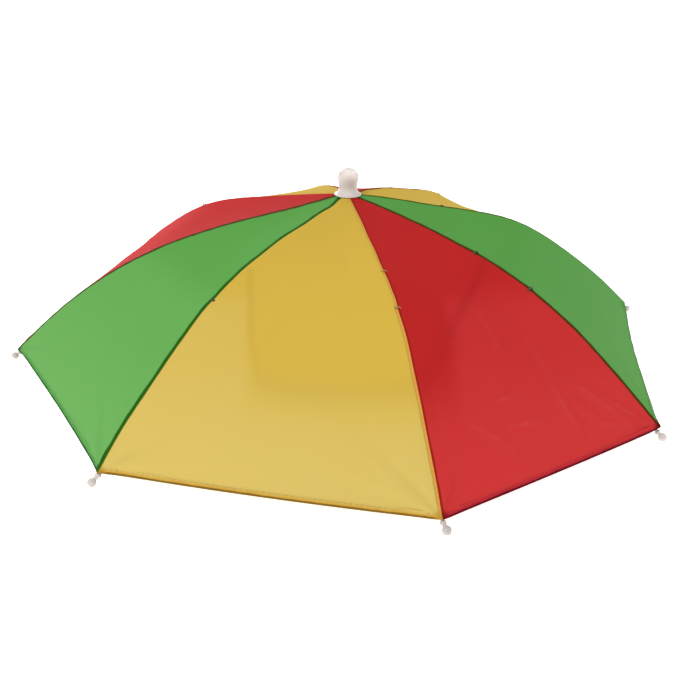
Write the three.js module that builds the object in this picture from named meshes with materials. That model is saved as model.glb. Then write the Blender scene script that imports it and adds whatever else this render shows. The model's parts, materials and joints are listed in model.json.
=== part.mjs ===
import * as THREE from 'three';

// Umbrella hat: an eight-gore cloth canopy on bent ribs, worn by a headband that hangs on four straps.
// Millimetres, +Z up. The origin is on the canopy's axis, at the level of the surface that the hat
// rests on. Rib 1 points along +X, and the others follow it anticlockwise, seen from above.

// Canopy
const canopyRadius = 250;      // axis to a corner of the cloth
const canopyRise = 108.5;      // corners to crown
const crownFall = 0.29;        // share of the rise that falls evenly with the radius
const rimFall = 0.35;          // share that falls with its fourth power; the rest falls with its square
const clothWall = 1;
const clothHole = 5;           // radius of the hole at the crown
const goreDip = 3;             // how far the middle of a gore sinks below the line between its ribs
const hemCurl = 6;             // power of the radius with which the hem's bow fades up the gore
const liftSkew = 1.2;          // over 1 puts the middle of a rib's extra bow nearer the rim
const liftPower = 6;           // a higher power makes that bow shorter

// Gaps
const gap = 0.3;               // between pieces that touch
const ribGap = 0.4;            // between a rib and the cloth over it
const hubGap = 0.5;            // between a hub and the rods that end at it

// Ribs and their tips
const ribWire = 1.25;          // radius of a rib
const tipLength = 6.2;         // end of a rib to the middle of its ball
const tipTurn = 12.5;          // degrees that a tip is turned up from its rib's end
const ballRadius = 2.7;
const neckRadius = 1.2;
const collarRadius = 1.9;
const collarPlace = 1;         // ball to the widest part of the collar
const stemRadius = 1;

// Ferrule, in heights above the crown
const flangeRadius = 10.3;
const flangeEdge = 1.2;
const waistRadius = 6.3;
const waistHeight = 5;
const bulbRadius = 7.5;
const bulbHeight = 13;         // where the bulb is widest
const bulbTop = 6.2;           // widest place to the top
const ferruleBore = 14;        // depth of the bore that the shaft stands in

// Hubs and shaft
const shaftRadius = 3.5;
const shaftFoot = 2;           // shaft below the runner
const notchRadius = 9;
const notchHeight = 7;
const runnerRadius = 9;
const runnerHeight = 8;
const runnerDrop = 15;         // top notch to runner

// Stretchers
const stretcherWire = 1.1;     // radius
const stretcherReach = 70;     // axis to the place where a stretcher meets its rib

// Headband and straps
const bandRadius = 87;         // axis to the middle of the band's wall
const bandWall = 2;
const bandHeight = 20;
const strapWidth = 6;
const strapWall = 1;
const strapLap = 13;           // length of a strap down the outside of the band
const strapSpread = 28;        // how far outside the band's wall a strap hangs on its rib
const strapBow = 16;           // how far the slack in a strap swings it out near its top

// Colours
const yellow = 0xd9b94e;
const red = 0xc23030;
const green = 0x63a857;
const milky = 0xdcd3cf;
const steel = 0xb9bcc0;
const white = 0xe6e4de;

// A row for each gore, from the one after rib 1: its cloth, how many degrees its first rib has swung
// from its even place, how far that rib bows up in its middle past the common line, and how far the
// gore's hem bows out past the straight line between its corners.
const goreRows = [
  { cloth: yellow, swing: 1.5, lift: 4.9, hemBow: 0 },
  { cloth: red, swing: -1, lift: 5, hemBow: 0 },
  { cloth: yellow, swing: 0, lift: 2, hemBow: 0 },
  { cloth: red, swing: 1.2, lift: 3.2, hemBow: 0 },
  { cloth: green, swing: 0.7, lift: 0, hemBow: -1.5 },
  { cloth: yellow, swing: -0.7, lift: 1.9, hemBow: 2.4 },
  { cloth: red, swing: 0.6, lift: 5.3, hemBow: -0.9 },
  { cloth: green, swing: -3.4, lift: 1, hemBow: -3.2 },
];
const ribCount = goreRows.length;
const halfGore = Math.PI / ribCount;

// Rib line

// Direction of rib i in radians
function ribAngle(i) {
  const row = goreRows[i % ribCount];
  return 2 * halfGore * i + THREE.MathUtils.degToRad(row.swing);
}

// Height above the corners of the cloth's top at a share u of the radius
function lineHeight(u) {
  const squareFall = 1 - crownFall - rimFall;
  return canopyRise * (1 - crownFall * u - squareFall * u ** 2 - rimFall * u ** 4);
}

// How steeply that line falls there
function lineSlope(u) {
  const squareFall = 1 - crownFall - rimFall;
  return canopyRise / canopyRadius * (crownFall + 2 * squareFall * u + 4 * rimFall * u ** 3);
}

// Outward normal of that line, with x along the rib
function lineNormal(u) {
  return new THREE.Vector3(lineSlope(u), 0, 1).normalize();
}

// Share of a rib's lift that is felt at a share u of the radius
function liftShare(u) {
  return Math.sin(Math.PI * u ** liftSkew) ** liftPower;
}

// Point at a depth square to the cloth's top over a rib, with heights above the corners
function underCloth(u, depth, lift = 0) {
  const top = new THREE.Vector3(canopyRadius * u, 0, lineHeight(u) + lift * liftShare(u));
  return top.addScaledVector(lineNormal(u), -depth);
}

// Where the balls put the corners above the surface below
const ribDepth = clothWall + ribGap + ribWire;
const ribEnd = underCloth(1, ribDepth);
const ribEndFall = Math.atan(lineSlope(1));
const tipFall = ribEndFall - THREE.MathUtils.degToRad(tipTurn);
const tipWay = new THREE.Vector3(Math.cos(tipFall), 0, -Math.sin(tipFall));
const ballPlace = ribEnd.clone().addScaledVector(tipWay, tipLength);
const cornerHeight = ballRadius - ballPlace.z;
const crownHeight = cornerHeight + canopyRise;

// Heights that follow from the cloth and the named sizes
const notchEdge = notchRadius / Math.cos(halfGore) / canopyRadius;
const notchTop = cornerHeight + lineHeight(notchEdge) - clothWall - gap;
const notchBottom = notchTop - notchHeight;
const runnerTop = notchBottom - runnerDrop;
const runnerBottom = runnerTop - runnerHeight;
const shaftTop = crownHeight + ferruleBore - gap;
const shaftBottom = runnerBottom - shaftFoot;

// Shape helpers

// A solid turned about +Z from the outline of one side
function turned(outline, sides) {
  return new THREE.LatheGeometry(outline, sides).rotateX(Math.PI / 2);
}

// A rod or strap of a given section along a line
function drawn(section, line, steps) {
  return new THREE.ExtrudeGeometry(section, { steps, bevelEnabled: false, extrudePath: line });
}

function roundSection(radius, sides) {
  const corners = [];
  for (let i = 0; i < sides; i += 1) {
    const angle = 2 * Math.PI * (i + 0.5) / sides;
    corners.push(new THREE.Vector2(radius * Math.cos(angle), radius * Math.sin(angle)));
  }
  return new THREE.Shape(corners);
}

function flatSection(width, height) {
  const shape = new THREE.Shape();
  shape.moveTo(-width / 2, -height / 2);
  shape.lineTo(width / 2, -height / 2);
  shape.lineTo(width / 2, height / 2);
  shape.lineTo(-width / 2, height / 2);
  return shape;
}

function named(name, geometry, color, roughness, metalness = 0) {
  const material = new THREE.MeshStandardMaterial({ color, roughness, metalness });
  const mesh = new THREE.Mesh(geometry, material);
  mesh.name = name;
  return mesh;
}

// Canopy gores

const goreSteps = 14;          // from crown to hem
const goreBays = 6;            // from rib to rib

// Top of the cloth of gore i, at a share u of the radius and a share t of the way to its next rib
function clothTop(i, u, t) {
  const first = ribAngle(i);
  const second = i + 1 === ribCount ? ribAngle(0) + 2 * Math.PI : ribAngle(i + 1);
  const middle = (first + second) / 2;
  const out = new THREE.Vector3(Math.cos(middle), Math.sin(middle), 0);
  const reach = canopyRadius * u;
  const side = gap / 2;
  const from = new THREE.Vector3(
    reach * Math.cos(first) - side * Math.sin(first),
    reach * Math.sin(first) + side * Math.cos(first),
    0,
  );
  const to = new THREE.Vector3(
    reach * Math.cos(second) + side * Math.sin(second),
    reach * Math.sin(second) - side * Math.cos(second),
    0,
  );
  const bulge = 4 * t * (1 - t);
  const slope = lineSlope(u);
  const steepness = Math.hypot(1, slope);
  const dip = goreDip * bulge * Math.sin(Math.PI * u) ** 2 / steepness;
  const bow = goreRows[i].hemBow * bulge * u ** hemCurl;
  const lift = THREE.MathUtils.lerp(goreRows[i].lift, goreRows[(i + 1) % ribCount].lift, t);
  const place = from.lerp(to, t).addScaledVector(out, bow - dip * slope);
  place.z = cornerHeight + lineHeight(u) + lift * liftShare(u) - dip;
  return place;
}

// A box with its width bent from rib to rib, its height from crown to hem and its depth the wall
function goreGeometry(i) {
  const box = new THREE.BoxGeometry(1, 1, 1, goreBays, goreSteps, 1);
  const places = box.attributes.position;
  const innerShare = clothHole / canopyRadius;
  for (let k = 0; k < places.count; k += 1) {
    const t = 0.5 - places.getX(k);
    const u = innerShare + (1 - innerShare) * (places.getY(k) + 0.5);
    const place = clothTop(i, u, t);
    if (places.getZ(k) < 0) {
      place.z -= clothWall * Math.hypot(1, lineSlope(u));
    }
    places.setXYZ(k, place.x, place.y, place.z);
  }
  box.computeVertexNormals();
  return box;
}

// Ribs, tips and stretchers, each made along +X and turned to its rib

class RibLine extends THREE.Curve {
  constructor(lift) {
    super();
    this.lift = lift;
  }

  getPoint(t, target = new THREE.Vector3()) {
    const first = (notchRadius + hubGap) / canopyRadius;
    const place = underCloth(first + (1 - first) * t, ribDepth, this.lift);
    return target.set(place.x, 0, place.z + cornerHeight);
  }
}

function ribGeometry(lift) {
  return drawn(roundSection(ribWire, 6), new RibLine(lift), 16);
}

// The ball's middle is at the origin, and the stem points up
function tipGeometry() {
  const ballLine = new THREE.Path();
  const neckAngle = Math.acos(neckRadius / ballRadius);
  ballLine.absarc(0, 0, ballRadius, -Math.PI / 2, neckAngle, false);
  const neck = ballRadius * Math.sin(neckAngle);
  const collar = ballRadius + collarPlace;
  const stemTop = tipLength - gap;
  const outline = [
    ...ballLine.getPoints(4),
    new THREE.Vector2(neckRadius, neck + collarPlace / 3),
    new THREE.Vector2(collarRadius, collar),
    new THREE.Vector2(stemRadius, collar + collarRadius / 3),
    new THREE.Vector2(stemRadius, stemTop),
    new THREE.Vector2(0, stemTop),
  ];
  outline[0].x = 0;
  return turned(outline, 10);
}

function placedTip(name) {
  const tip = named(name, tipGeometry(), milky, 0.35);
  tip.position.set(ballPlace.x, 0, ballPlace.z + cornerHeight);
  tip.rotation.y = tipFall - Math.PI / 2;
  return tip;
}

function stretcherGeometry(lift) {
  const depth = ribDepth + ribWire + gap + stretcherWire;
  const outer = underCloth(stretcherReach / canopyRadius, depth, lift);
  const inner = new THREE.Vector3(runnerRadius + hubGap, 0, (runnerTop + runnerBottom) / 2);
  outer.z += cornerHeight;
  return drawn(roundSection(stretcherWire, 6), new THREE.LineCurve3(inner, outer), 1);
}

// Ferrule, hubs and shaft

function ferruleGeometry() {
  const bore = shaftRadius + gap;
  const seat = cornerHeight + lineHeight(clothHole / canopyRadius) + gap;
  const rimSeat = cornerHeight + lineHeight(flangeRadius / canopyRadius) + gap;
  const outline = new THREE.Path();
  outline.moveTo(0, crownHeight + ferruleBore);
  outline.lineTo(bore, crownHeight + ferruleBore);
  outline.lineTo(bore, seat);
  outline.lineTo(clothHole, seat);
  outline.lineTo(flangeRadius, rimSeat);
  outline.lineTo(flangeRadius, rimSeat + flangeEdge);
  outline.quadraticCurveTo(waistRadius, rimSeat + 2 * flangeEdge, waistRadius, crownHeight + waistHeight);
  outline.bezierCurveTo(
    waistRadius,
    crownHeight + (waistHeight + bulbHeight) / 2,
    bulbRadius,
    crownHeight + (waistHeight + bulbHeight) / 2,
    bulbRadius,
    crownHeight + bulbHeight,
  );
  outline.absellipse(0, crownHeight + bulbHeight, bulbRadius, bulbTop, 0, Math.PI / 2, false, 0);
  const points = outline.getPoints(4);
  points[points.length - 1].x = 0;
  return turned(points, 24);
}

// A ring with square edges about the axis
function ringGeometry(innerRadius, outerRadius, bottom, top, sides) {
  const outline = [
    new THREE.Vector2(innerRadius, bottom),
    new THREE.Vector2(outerRadius, bottom),
    new THREE.Vector2(outerRadius, top),
    new THREE.Vector2(innerRadius, top),
    new THREE.Vector2(innerRadius, bottom),
  ];
  return turned(outline, sides);
}

function shaftGeometry() {
  const outline = [
    new THREE.Vector2(0, shaftBottom),
    new THREE.Vector2(shaftRadius, shaftBottom),
    new THREE.Vector2(shaftRadius, shaftTop),
    new THREE.Vector2(0, shaftTop),
  ];
  return turned(outline, 16);
}

// Straps

function strapGeometry(lift) {
  const outside = bandRadius + bandWall / 2 + gap + strapWall / 2;
  const hangShare = (bandRadius + strapSpread) / canopyRadius;
  const hang = underCloth(hangShare, ribDepth + ribWire + ribGap, lift);
  const hangHeight = hang.z + cornerHeight;
  const third = (hangHeight - bandHeight) / 3;
  const line = new THREE.CurvePath();
  line.add(new THREE.LineCurve3(
    new THREE.Vector3(outside, 0, bandHeight - strapLap),
    new THREE.Vector3(outside, 0, bandHeight),
  ));
  line.add(new THREE.CubicBezierCurve3(
    new THREE.Vector3(outside, 0, bandHeight),
    new THREE.Vector3(outside, 0, bandHeight + third),
    new THREE.Vector3(hang.x + strapBow, 0, hangHeight - third),
    new THREE.Vector3(hang.x, 0, hangHeight),
  ));
  return drawn(flatSection(strapWidth, strapWall), line, 16);
}

// The whole hat

const hat = new THREE.Group();

for (let i = 0; i < ribCount; i += 1) {
  const number = i + 1;
  const { cloth, lift } = goreRows[i];
  hat.add(named(`gore_${number}`, goreGeometry(i), cloth, 0.7));
  const spoke = new THREE.Group();
  spoke.rotation.z = ribAngle(i);
  spoke.add(named(`rib_${number}`, ribGeometry(lift), steel, 0.35, 0.9));
  spoke.add(placedTip(`rib_tip_${number}`));
  spoke.add(named(`stretcher_${number}`, stretcherGeometry(lift), steel, 0.35, 0.9));
  if (number % 2 === 0) {
    spoke.add(named(`strap_${number / 2}`, strapGeometry(lift), white, 0.8));
  }
  hat.add(spoke);
}

hat.add(named('ferrule', ferruleGeometry(), milky, 0.3));
hat.add(named('shaft', shaftGeometry(), milky, 0.4));
const hubBore = shaftRadius + gap;
hat.add(named('top_notch', ringGeometry(hubBore, notchRadius, notchBottom, notchTop, 24), milky, 0.4));
hat.add(named('runner', ringGeometry(hubBore, runnerRadius, runnerBottom, runnerTop, 24), milky, 0.4));
const bandInside = bandRadius - bandWall / 2;
const bandOutside = bandRadius + bandWall / 2;
hat.add(named('headband', ringGeometry(bandInside, bandOutside, 0, bandHeight, 48), white, 0.85));

export default hat;
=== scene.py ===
# %% [markdown]
# # An umbrella hat
# The hat is a small open umbrella with a headband in place of a handle. Eight cloth gores are sewn to
# each other over eight bent ribs, a milky cap closes the crown, and a small ball ends each rib.
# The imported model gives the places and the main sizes. This lesson dresses it piece by piece: each
# plain solid gives way to a piece with the real one's folds, seams, stitches and finish.

# %% Load the model
import json
import math

import bmesh
import bpy
import numpy as np
from mathutils import Euler, Matrix, Vector


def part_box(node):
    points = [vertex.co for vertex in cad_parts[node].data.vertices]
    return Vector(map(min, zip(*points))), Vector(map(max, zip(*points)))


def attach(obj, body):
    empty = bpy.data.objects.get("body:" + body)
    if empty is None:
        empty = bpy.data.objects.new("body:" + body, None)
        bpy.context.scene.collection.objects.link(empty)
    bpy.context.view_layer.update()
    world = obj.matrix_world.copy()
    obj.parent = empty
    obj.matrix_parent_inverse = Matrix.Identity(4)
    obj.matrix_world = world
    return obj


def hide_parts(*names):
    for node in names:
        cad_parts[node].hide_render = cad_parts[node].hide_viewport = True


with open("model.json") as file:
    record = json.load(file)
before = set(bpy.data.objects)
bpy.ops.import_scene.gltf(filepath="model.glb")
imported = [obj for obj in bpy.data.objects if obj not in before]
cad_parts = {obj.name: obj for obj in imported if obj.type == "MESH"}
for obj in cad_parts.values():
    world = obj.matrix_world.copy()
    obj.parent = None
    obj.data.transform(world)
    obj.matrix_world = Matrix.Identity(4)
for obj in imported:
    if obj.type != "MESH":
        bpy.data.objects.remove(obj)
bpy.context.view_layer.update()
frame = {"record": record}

# %% [markdown]
# ## Sizes that the pieces share
# The cloth, the ribs and the stitches all follow one line: the curve of a rib from crown to corner.
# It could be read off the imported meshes, but a formula gives its height and slope at any place, so
# that all that follows the line fits. It falls by three shares: one with the radius, one with its
# square and one with its fourth power.

# %% Sizes, in metres
MM = 0.001
RIB_COUNT = 8
CANOPY_RADIUS = 250 * MM
CANOPY_RISE = 108.5 * MM
CROWN_FALL = 0.29
RIM_FALL = 0.35
GORE_DIP = 3 * MM
CLOTH_HOLE = 5 * MM
RIB_DEPTH = 2.65 * MM
RIB_WIRE = 1.25 * MM
print("canopy:", 2 * CANOPY_RADIUS, "m across and", CANOPY_RISE, "m high")

# %% [markdown]
# The ribs of a hat that has been folded and worn no longer match. Each bows up by its own amount, and
# the seams sewn over them wander a little. Short tables hold what was measured for each rib, because
# only uneven ribs make the canopy look used. Ribs are counted from 0, as Python counts.

# %% How the ribs and seams differ
# How far each rib bows up in its middle past the common line
RIB_LIFTS = np.array([4.9, 5.0, 2.0, 3.2, 0.0, 1.9, 5.3, 1.0]) * MM
# Where a rib stands off that bow: its rib, the place as a share of the radius, how high and how long
RIB_HUMPS = [(4, 0.28, -2.4 * MM, 0.24), (1, 0.22, 2.4 * MM, 0.17), (3, 0.25, -0.8 * MM, 0.20)]
HUMP_END = 0.08
# Where a seam wanders sideways: its rib, the place as a share of the radius, how far and how long
SEAM_WANDER = 0.22 * MM
SEAM_BENDS = [
    (5, 0.100, 2.6 * MM, 0.045),
    (5, 0.200, 2.4 * MM, 0.080),
    (5, 0.590, 0.5 * MM, 0.020),
    (5, 0.800, 1.9 * MM, 0.110),
    (6, 0.560, 0.7 * MM, 0.025),
    (6, 0.700, 0.7 * MM, 0.080),
    (7, 0.500, 0.8 * MM, 0.060),
    (7, 0.610, 0.5 * MM, 0.015),
    (7, 0.860, -1.5 * MM, 0.090),
    (4, 0.180, 3.0 * MM, 0.090),
    (3, 0.500, 0.5 * MM, 0.030),
    (0, 0.250, -2.0 * MM, 0.080),
]
print("ribs bow up by up to", RIB_LIFTS.max(), "m, and", len(SEAM_BENDS), "bends are in the seams")


# %% The line of a rib
def rib_lift(i, u):
    """How far rib i bows up past the common line at a share u of the radius."""
    ends = np.clip(u / HUMP_END, 0, 1) * np.clip((1 - u) / HUMP_END, 0, 1)
    lift = RIB_LIFTS[i % RIB_COUNT] * np.sin(math.pi * np.clip(u, 0, 1) ** 1.2) ** 6
    for rib, place, rise, length in RIB_HUMPS:
        if rib == i % RIB_COUNT:
            lift = lift + rise * ends * np.exp(-(((u - place) / length) ** 2))
    return lift


def seam_bend(i, u):
    """How far seam i has wandered anticlockwise at a share u of the radius."""
    bend = SEAM_WANDER * np.sin(u * 41 + 2.1 * (i % RIB_COUNT)) * np.sin(math.pi * u)
    for rib, place, shift, length in SEAM_BENDS:
        if rib == i % RIB_COUNT:
            bend = bend + shift * np.exp(-(((u - place) / length) ** 2))
    return bend


def line_height(u):
    """Height above the corners at a share u of the radius."""
    square_fall = 1 - CROWN_FALL - RIM_FALL
    return CANOPY_RISE * (1 - CROWN_FALL * u - square_fall * u**2 - RIM_FALL * u**4)


def line_slope(u):
    """How steeply the line falls at a share u of the radius."""
    square_fall = 1 - CROWN_FALL - RIM_FALL
    steps = CROWN_FALL + 2 * square_fall * u + 4 * RIM_FALL * u**3
    return CANOPY_RISE / CANOPY_RADIUS * steps


print("slope at the crown and at the corners:", line_slope(0), line_slope(1))

# %% [markdown]
# The ribs aren't quite evenly spread either, so each direction is read from the rib's own tip. The
# length of the line, from crown to corner, is summed up in small steps, because the cloth is as long
# as the line and not as its shadow on the ground.


# %% Directions and lengths of the ribs
def box_middle(node):
    low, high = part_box(node)
    return (low + high) / 2


def rib_direction(i):
    """Angle of rib i, from its tip's place, growing past a full turn after the last rib."""
    tip = box_middle(f"rib_tip_{i % RIB_COUNT + 1}")
    even = 2 * math.pi * i / RIB_COUNT
    found = math.atan2(tip.y, tip.x)
    return found + 2 * math.pi * round((even - found) / (2 * math.pi))


RIB_ANGLES = [rib_direction(i) for i in range(RIB_COUNT + 1)]
CROWN_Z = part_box("gore_1")[1].z + CANOPY_RISE - line_height(CLOTH_HOLE / CANOPY_RADIUS)
CORNER_Z = CROWN_Z - CANOPY_RISE
print("ribs at", [round(math.degrees(a), 1) for a in RIB_ANGLES], "corners at", round(CORNER_Z, 4))

ARC_SHARES = np.linspace(0, 1, 400)
ARC_STEPS = np.hypot(1, line_slope(ARC_SHARES)) * CANOPY_RADIUS * (ARC_SHARES[1] - ARC_SHARES[0])
ARC_LENGTHS = np.concatenate([[0], np.cumsum((ARC_STEPS[1:] + ARC_STEPS[:-1]) / 2)])
RIB_LENGTH = ARC_LENGTHS[-1]
print("a gore is", round(RIB_LENGTH, 4), "m long from crown to corner")

# %% [markdown]
# ## Camera
# The camera stands close to the hat, above the crown's height and left of its front, and looks down
# at it. From so near, the front of the rim looks much wider than the back. A view from nearby changes
# with the smallest move, so its place isn't set by eye: it was worked out from the ball tips, the
# corners and the seams.

# %% Camera, with its angles in degrees
CAMERA_AZIMUTH = -11.34
CAMERA_ELEVATION = 25.63
CAMERA_ROLL = 0.91
CAMERA_DISTANCE = 0.6395
CAMERA_AIM = Vector((-0.0040, 0.0008, -0.0055))
CAMERA_LENS = 41.47
SENSOR_WIDTH = 36

camera_data = bpy.data.cameras.new("Camera")
camera_data.lens = CAMERA_LENS
camera_data.sensor_width = SENSOR_WIDTH
camera = bpy.data.objects.new("Camera", camera_data)
camera_turn = Euler(
    (math.radians(90 - CAMERA_ELEVATION), 0, math.radians(CAMERA_AZIMUTH)), "XYZ"
).to_matrix()
camera_turn = camera_turn @ Matrix.Rotation(math.radians(CAMERA_ROLL), 3, "Z")
camera_place = CAMERA_AIM + camera_turn @ Vector((0, 0, CAMERA_DISTANCE))
camera.matrix_world = Matrix.Translation(camera_place) @ camera_turn.to_4x4()
bpy.context.scene.collection.objects.link(camera)
bpy.context.scene.camera = camera
print("camera at", [round(v, 4) for v in camera_place])

# %% [markdown]
# ## Building meshes
# Most pieces are one of three things: a thin sheet between two grids of points, a section carried
# along a line, or an outline turned about an axis. Modifiers such as Solidify and Screw could make
# them too. Here three short functions do, because the cloth, its hem and its stitches have to know
# where each point lies. A body is its points, its faces and each point's place on the flat material.


# %% A sheet
def sheet_body(top, bottom, flat=None):
    """A closed sheet between two grids of points. flat holds each point's place on the flat cloth."""
    rows, columns = top.shape[:2]
    points = np.concatenate([top.reshape(-1, 3), bottom.reshape(-1, 3)])
    index = np.arange(rows * columns).reshape(rows, columns)
    under = index + rows * columns
    a, b, c, d = index[:-1, :-1], index[1:, :-1], index[1:, 1:], index[:-1, 1:]
    faces = [np.stack([a, b, c, d], -1).reshape(-1, 4)]
    a, b, c, d = under[:-1, :-1], under[:-1, 1:], under[1:, 1:], under[1:, :-1]
    faces.append(np.stack([a, b, c, d], -1).reshape(-1, 4))
    loop = np.concatenate([index[0, :], index[1:, -1], index[-1, -2::-1], index[-2::-1, 0]])
    below = loop + rows * columns
    faces.append(np.stack([loop[:-1], loop[1:], below[1:], below[:-1]], -1))
    marks = np.zeros((rows * columns, 2)) if flat is None else flat.reshape(-1, 2)
    return points, np.concatenate(faces).tolist(), np.concatenate([marks, marks])


# %% A section carried along a line
def swept_body(line, side, up, section, closed=False, scales=None):
    """A closed body whose section, points (across, up), is carried along a line of points."""
    count, corners = len(line), len(section)
    section = np.asarray(section)
    scale = np.ones(count) if scales is None else np.asarray(scales)
    across = section[None, :, 0, None] * scale[:, None, None] * side[:, None, :]
    above = section[None, :, 1, None] * scale[:, None, None] * up[:, None, :]
    points = (line[:, None, :] + across + above).reshape(-1, 3)
    index = np.arange(count * corners).reshape(count, corners)
    ring = np.vstack([index, index[:1]]) if closed else index
    ahead = np.roll(ring, -1, axis=1)
    faces = np.stack([ring[:-1], ahead[:-1], ahead[1:], ring[1:]], -1).reshape(-1, 4).tolist()
    if not closed:
        faces.append(index[0][::-1].tolist())
        faces.append(index[-1].tolist())
    steps = np.linalg.norm(np.diff(line, axis=0), axis=1)
    along = np.concatenate([[0], np.cumsum(steps)])
    round_it = np.linalg.norm(np.diff(section, axis=0), axis=1)
    around = np.concatenate([[0], np.cumsum(round_it)])
    marks = np.stack(np.meshgrid(along, around, indexing="ij"), -1).reshape(-1, 2)
    return points, faces, marks


def round_section(radius, corners):
    angles = np.linspace(0, 2 * math.pi, corners, endpoint=False)
    return np.stack([radius * np.cos(angles), radius * np.sin(angles)], -1)


def line_runs(line):
    """The direction of a line of points at each of them."""
    run = np.gradient(line, axis=0)
    return run / np.linalg.norm(run, axis=1, keepdims=True)


# %% An outline turned about an axis
ON_AXIS = 1e-6


def turned_body(outline, sides):
    """A closed body turned about Z from an outline of (radius, height), which may touch the axis."""
    outline = np.asarray(outline, float)
    angles = np.linspace(0, 2 * math.pi, sides, endpoint=False)
    points = []
    faces = []
    marks = []
    rings = []
    for radius, height in outline:
        start = len(points)
        if radius < ON_AXIS:
            points.append((0, 0, height))
            marks.append((0, height))
            rings.append([start] * sides)
            continue
        for angle in angles:
            points.append((radius * math.cos(angle), radius * math.sin(angle), height))
            marks.append((radius * angle, height))
        rings.append(list(range(start, start + sides)))
    if outline[0][0] > ON_AXIS:
        rings.append(rings[0])
    for low, high in zip(rings, rings[1:]):
        for k in range(sides):
            corners = [low[k], low[(k + 1) % sides], high[(k + 1) % sides], high[k]]
            face = list(dict.fromkeys(corners))
            if len(face) > 2:
                faces.append(face)
    return np.array(points), faces, np.array(marks)


# %% [markdown]
# Bodies become one object with one material. Their flat places become its UV map, which the weaves
# read, and named values can be stored at each point for a material to read. Edges that turn by more
# than the crease angle stay sharp. Every piece then rides on the hat's one body and replaces the plain
# solid that it dresses.


# %% Objects from bodies
def make_object(name, bodies, material, values=None, crease=40):
    """One object from several bodies, with their flat places as UVs and any named values per point."""
    points = np.concatenate([body[0] for body in bodies])
    marks = np.concatenate([body[2] for body in bodies])
    faces = []
    start = 0
    for body in bodies:
        faces.extend([[start + k for k in face] for face in body[1]])
        start += len(body[0])
    mesh = bpy.data.meshes.new(name)
    mesh.from_pydata(points.tolist(), [], faces)
    clean = bmesh.new()
    clean.from_mesh(mesh)
    bmesh.ops.recalc_face_normals(clean, faces=clean.faces)
    clean.to_mesh(mesh)
    clean.free()
    corner_points = np.zeros(len(mesh.loops), int)
    mesh.loops.foreach_get("vertex_index", corner_points)
    mesh.uv_layers.new(name="Flat").data.foreach_set("uv", marks[corner_points].ravel())
    for key, numbers in (values or {}).items():
        layer = mesh.attributes.new(key, "FLOAT", "POINT")
        layer.data.foreach_set("value", np.asarray(numbers, np.float32))
    mesh.shade_smooth()
    mesh.set_sharp_from_angle(angle=math.radians(crease))
    mesh.materials.append(material)
    piece = bpy.data.objects.new(name, mesh)
    bpy.context.scene.collection.objects.link(piece)
    return piece


def spoke_frame(i):
    """The outward, sideways and upward directions of rib i."""
    angle = RIB_ANGLES[i]
    out = np.array([math.cos(angle), math.sin(angle), 0])
    side = np.array([-math.sin(angle), math.cos(angle), 0])
    return out, side, np.array([0, 0, 1.0])


def finish_piece(piece, slot, *nodes):
    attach(piece, "root")
    if nodes:
        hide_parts(*nodes)
    print(piece.name, "has", len(piece.data.polygons), "faces")
    return piece


# %% [markdown]
# ## Cloth finish
# The gores are thin woven nylon. It is nearly matt, has a fine weave and lets some light through.
# Where two gores are sewn, the turned-in edge of one lies under the other and shows through as a
# band of a mixed colour, with a dark line at the seam itself. The rolled hem shows as a dark edge.
# The bands could be painted on an image. Instead each point of the cloth carries its distance to both
# seams and to the hem, and the material places the bands by them, so they stay sharp from nearby.


# %% Colours
def paint(code):
    """A colour from its usual six-figure code, as the linear numbers that a shader takes."""
    parts = [int(code[k : k + 2], 16) / 255 for k in (1, 3, 5)]
    return tuple(v / 12.92 if v <= 0.04045 else ((v + 0.055) / 1.055) ** 2.4 for v in parts) + (1.0,)


# Each cloth: its colour at the crown, where painted shade deepens it, and at the hem, where painted
# light pales it, its doubled colour in the hem's roll, and its darkest colour, at the hem's very edge,
# where several layers meet in a corner, and as the colour of the painted shade
YELLOW = ("#c6a742", "#c8b161", "#c2963a", "#7a5c1c")
RED = ("#b42323", "#c43636", "#ae2430", "#560a14")
GREEN = ("#549743", "#68a357", "#4a9040", "#20501a")
print("yellow at the crown:", [round(v, 3) for v in paint(YELLOW[0])])


# %% Nodes that mix and compute
def new_material(name):
    material = bpy.data.materials.new(name)
    material.use_nodes = True
    return material, material.node_tree, material.node_tree.nodes["Principled BSDF"]


def mix_colours(tree, share, first, second):
    """Mixes two colours, each a socket or a fixed value, by a share that is a socket."""
    node = tree.nodes.new("ShaderNodeMix")
    node.data_type = "RGBA"
    tree.links.new(share, node.inputs["Factor"])
    for name, value in (("A", first), ("B", second)):
        socket = [s for s in node.inputs if s.name == name and s.type == "RGBA"][0]
        if isinstance(value, tuple):
            socket.default_value = value
        else:
            tree.links.new(value, socket)
    return [s for s in node.outputs if s.type == "RGBA"][0]


def math_node(tree, operation, first, second):
    node = tree.nodes.new("ShaderNodeMath")
    node.operation = operation
    for socket, value in zip(node.inputs, (first, second)):
        if isinstance(value, (int, float)):
            socket.default_value = value
        else:
            tree.links.new(value, socket)
    return node.outputs[0]


def ramp_down(tree, value, start, end):
    """1 below start and 0 above end, with a soft step between."""
    node = tree.nodes.new("ShaderNodeMapRange")
    node.interpolation_type = "SMOOTHSTEP"
    node.inputs["From Min"].default_value = start
    node.inputs["From Max"].default_value = end
    node.inputs["To Min"].default_value = 1
    node.inputs["To Max"].default_value = 0
    tree.links.new(value, node.inputs["Value"])
    return node.outputs["Result"]


# %% Nodes that read the surface
def attribute(tree, name):
    node = tree.nodes.new("ShaderNodeAttribute")
    node.attribute_name = name
    return node.outputs["Fac"]


def object_noise(tree, scale, detail):
    place = tree.nodes.new("ShaderNodeTexCoord")
    noise = tree.nodes.new("ShaderNodeTexNoise")
    noise.inputs["Scale"].default_value = scale
    noise.inputs["Detail"].default_value = detail
    tree.links.new(place.outputs["Object"], noise.inputs["Vector"])
    return noise.outputs["Fac"]


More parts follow.
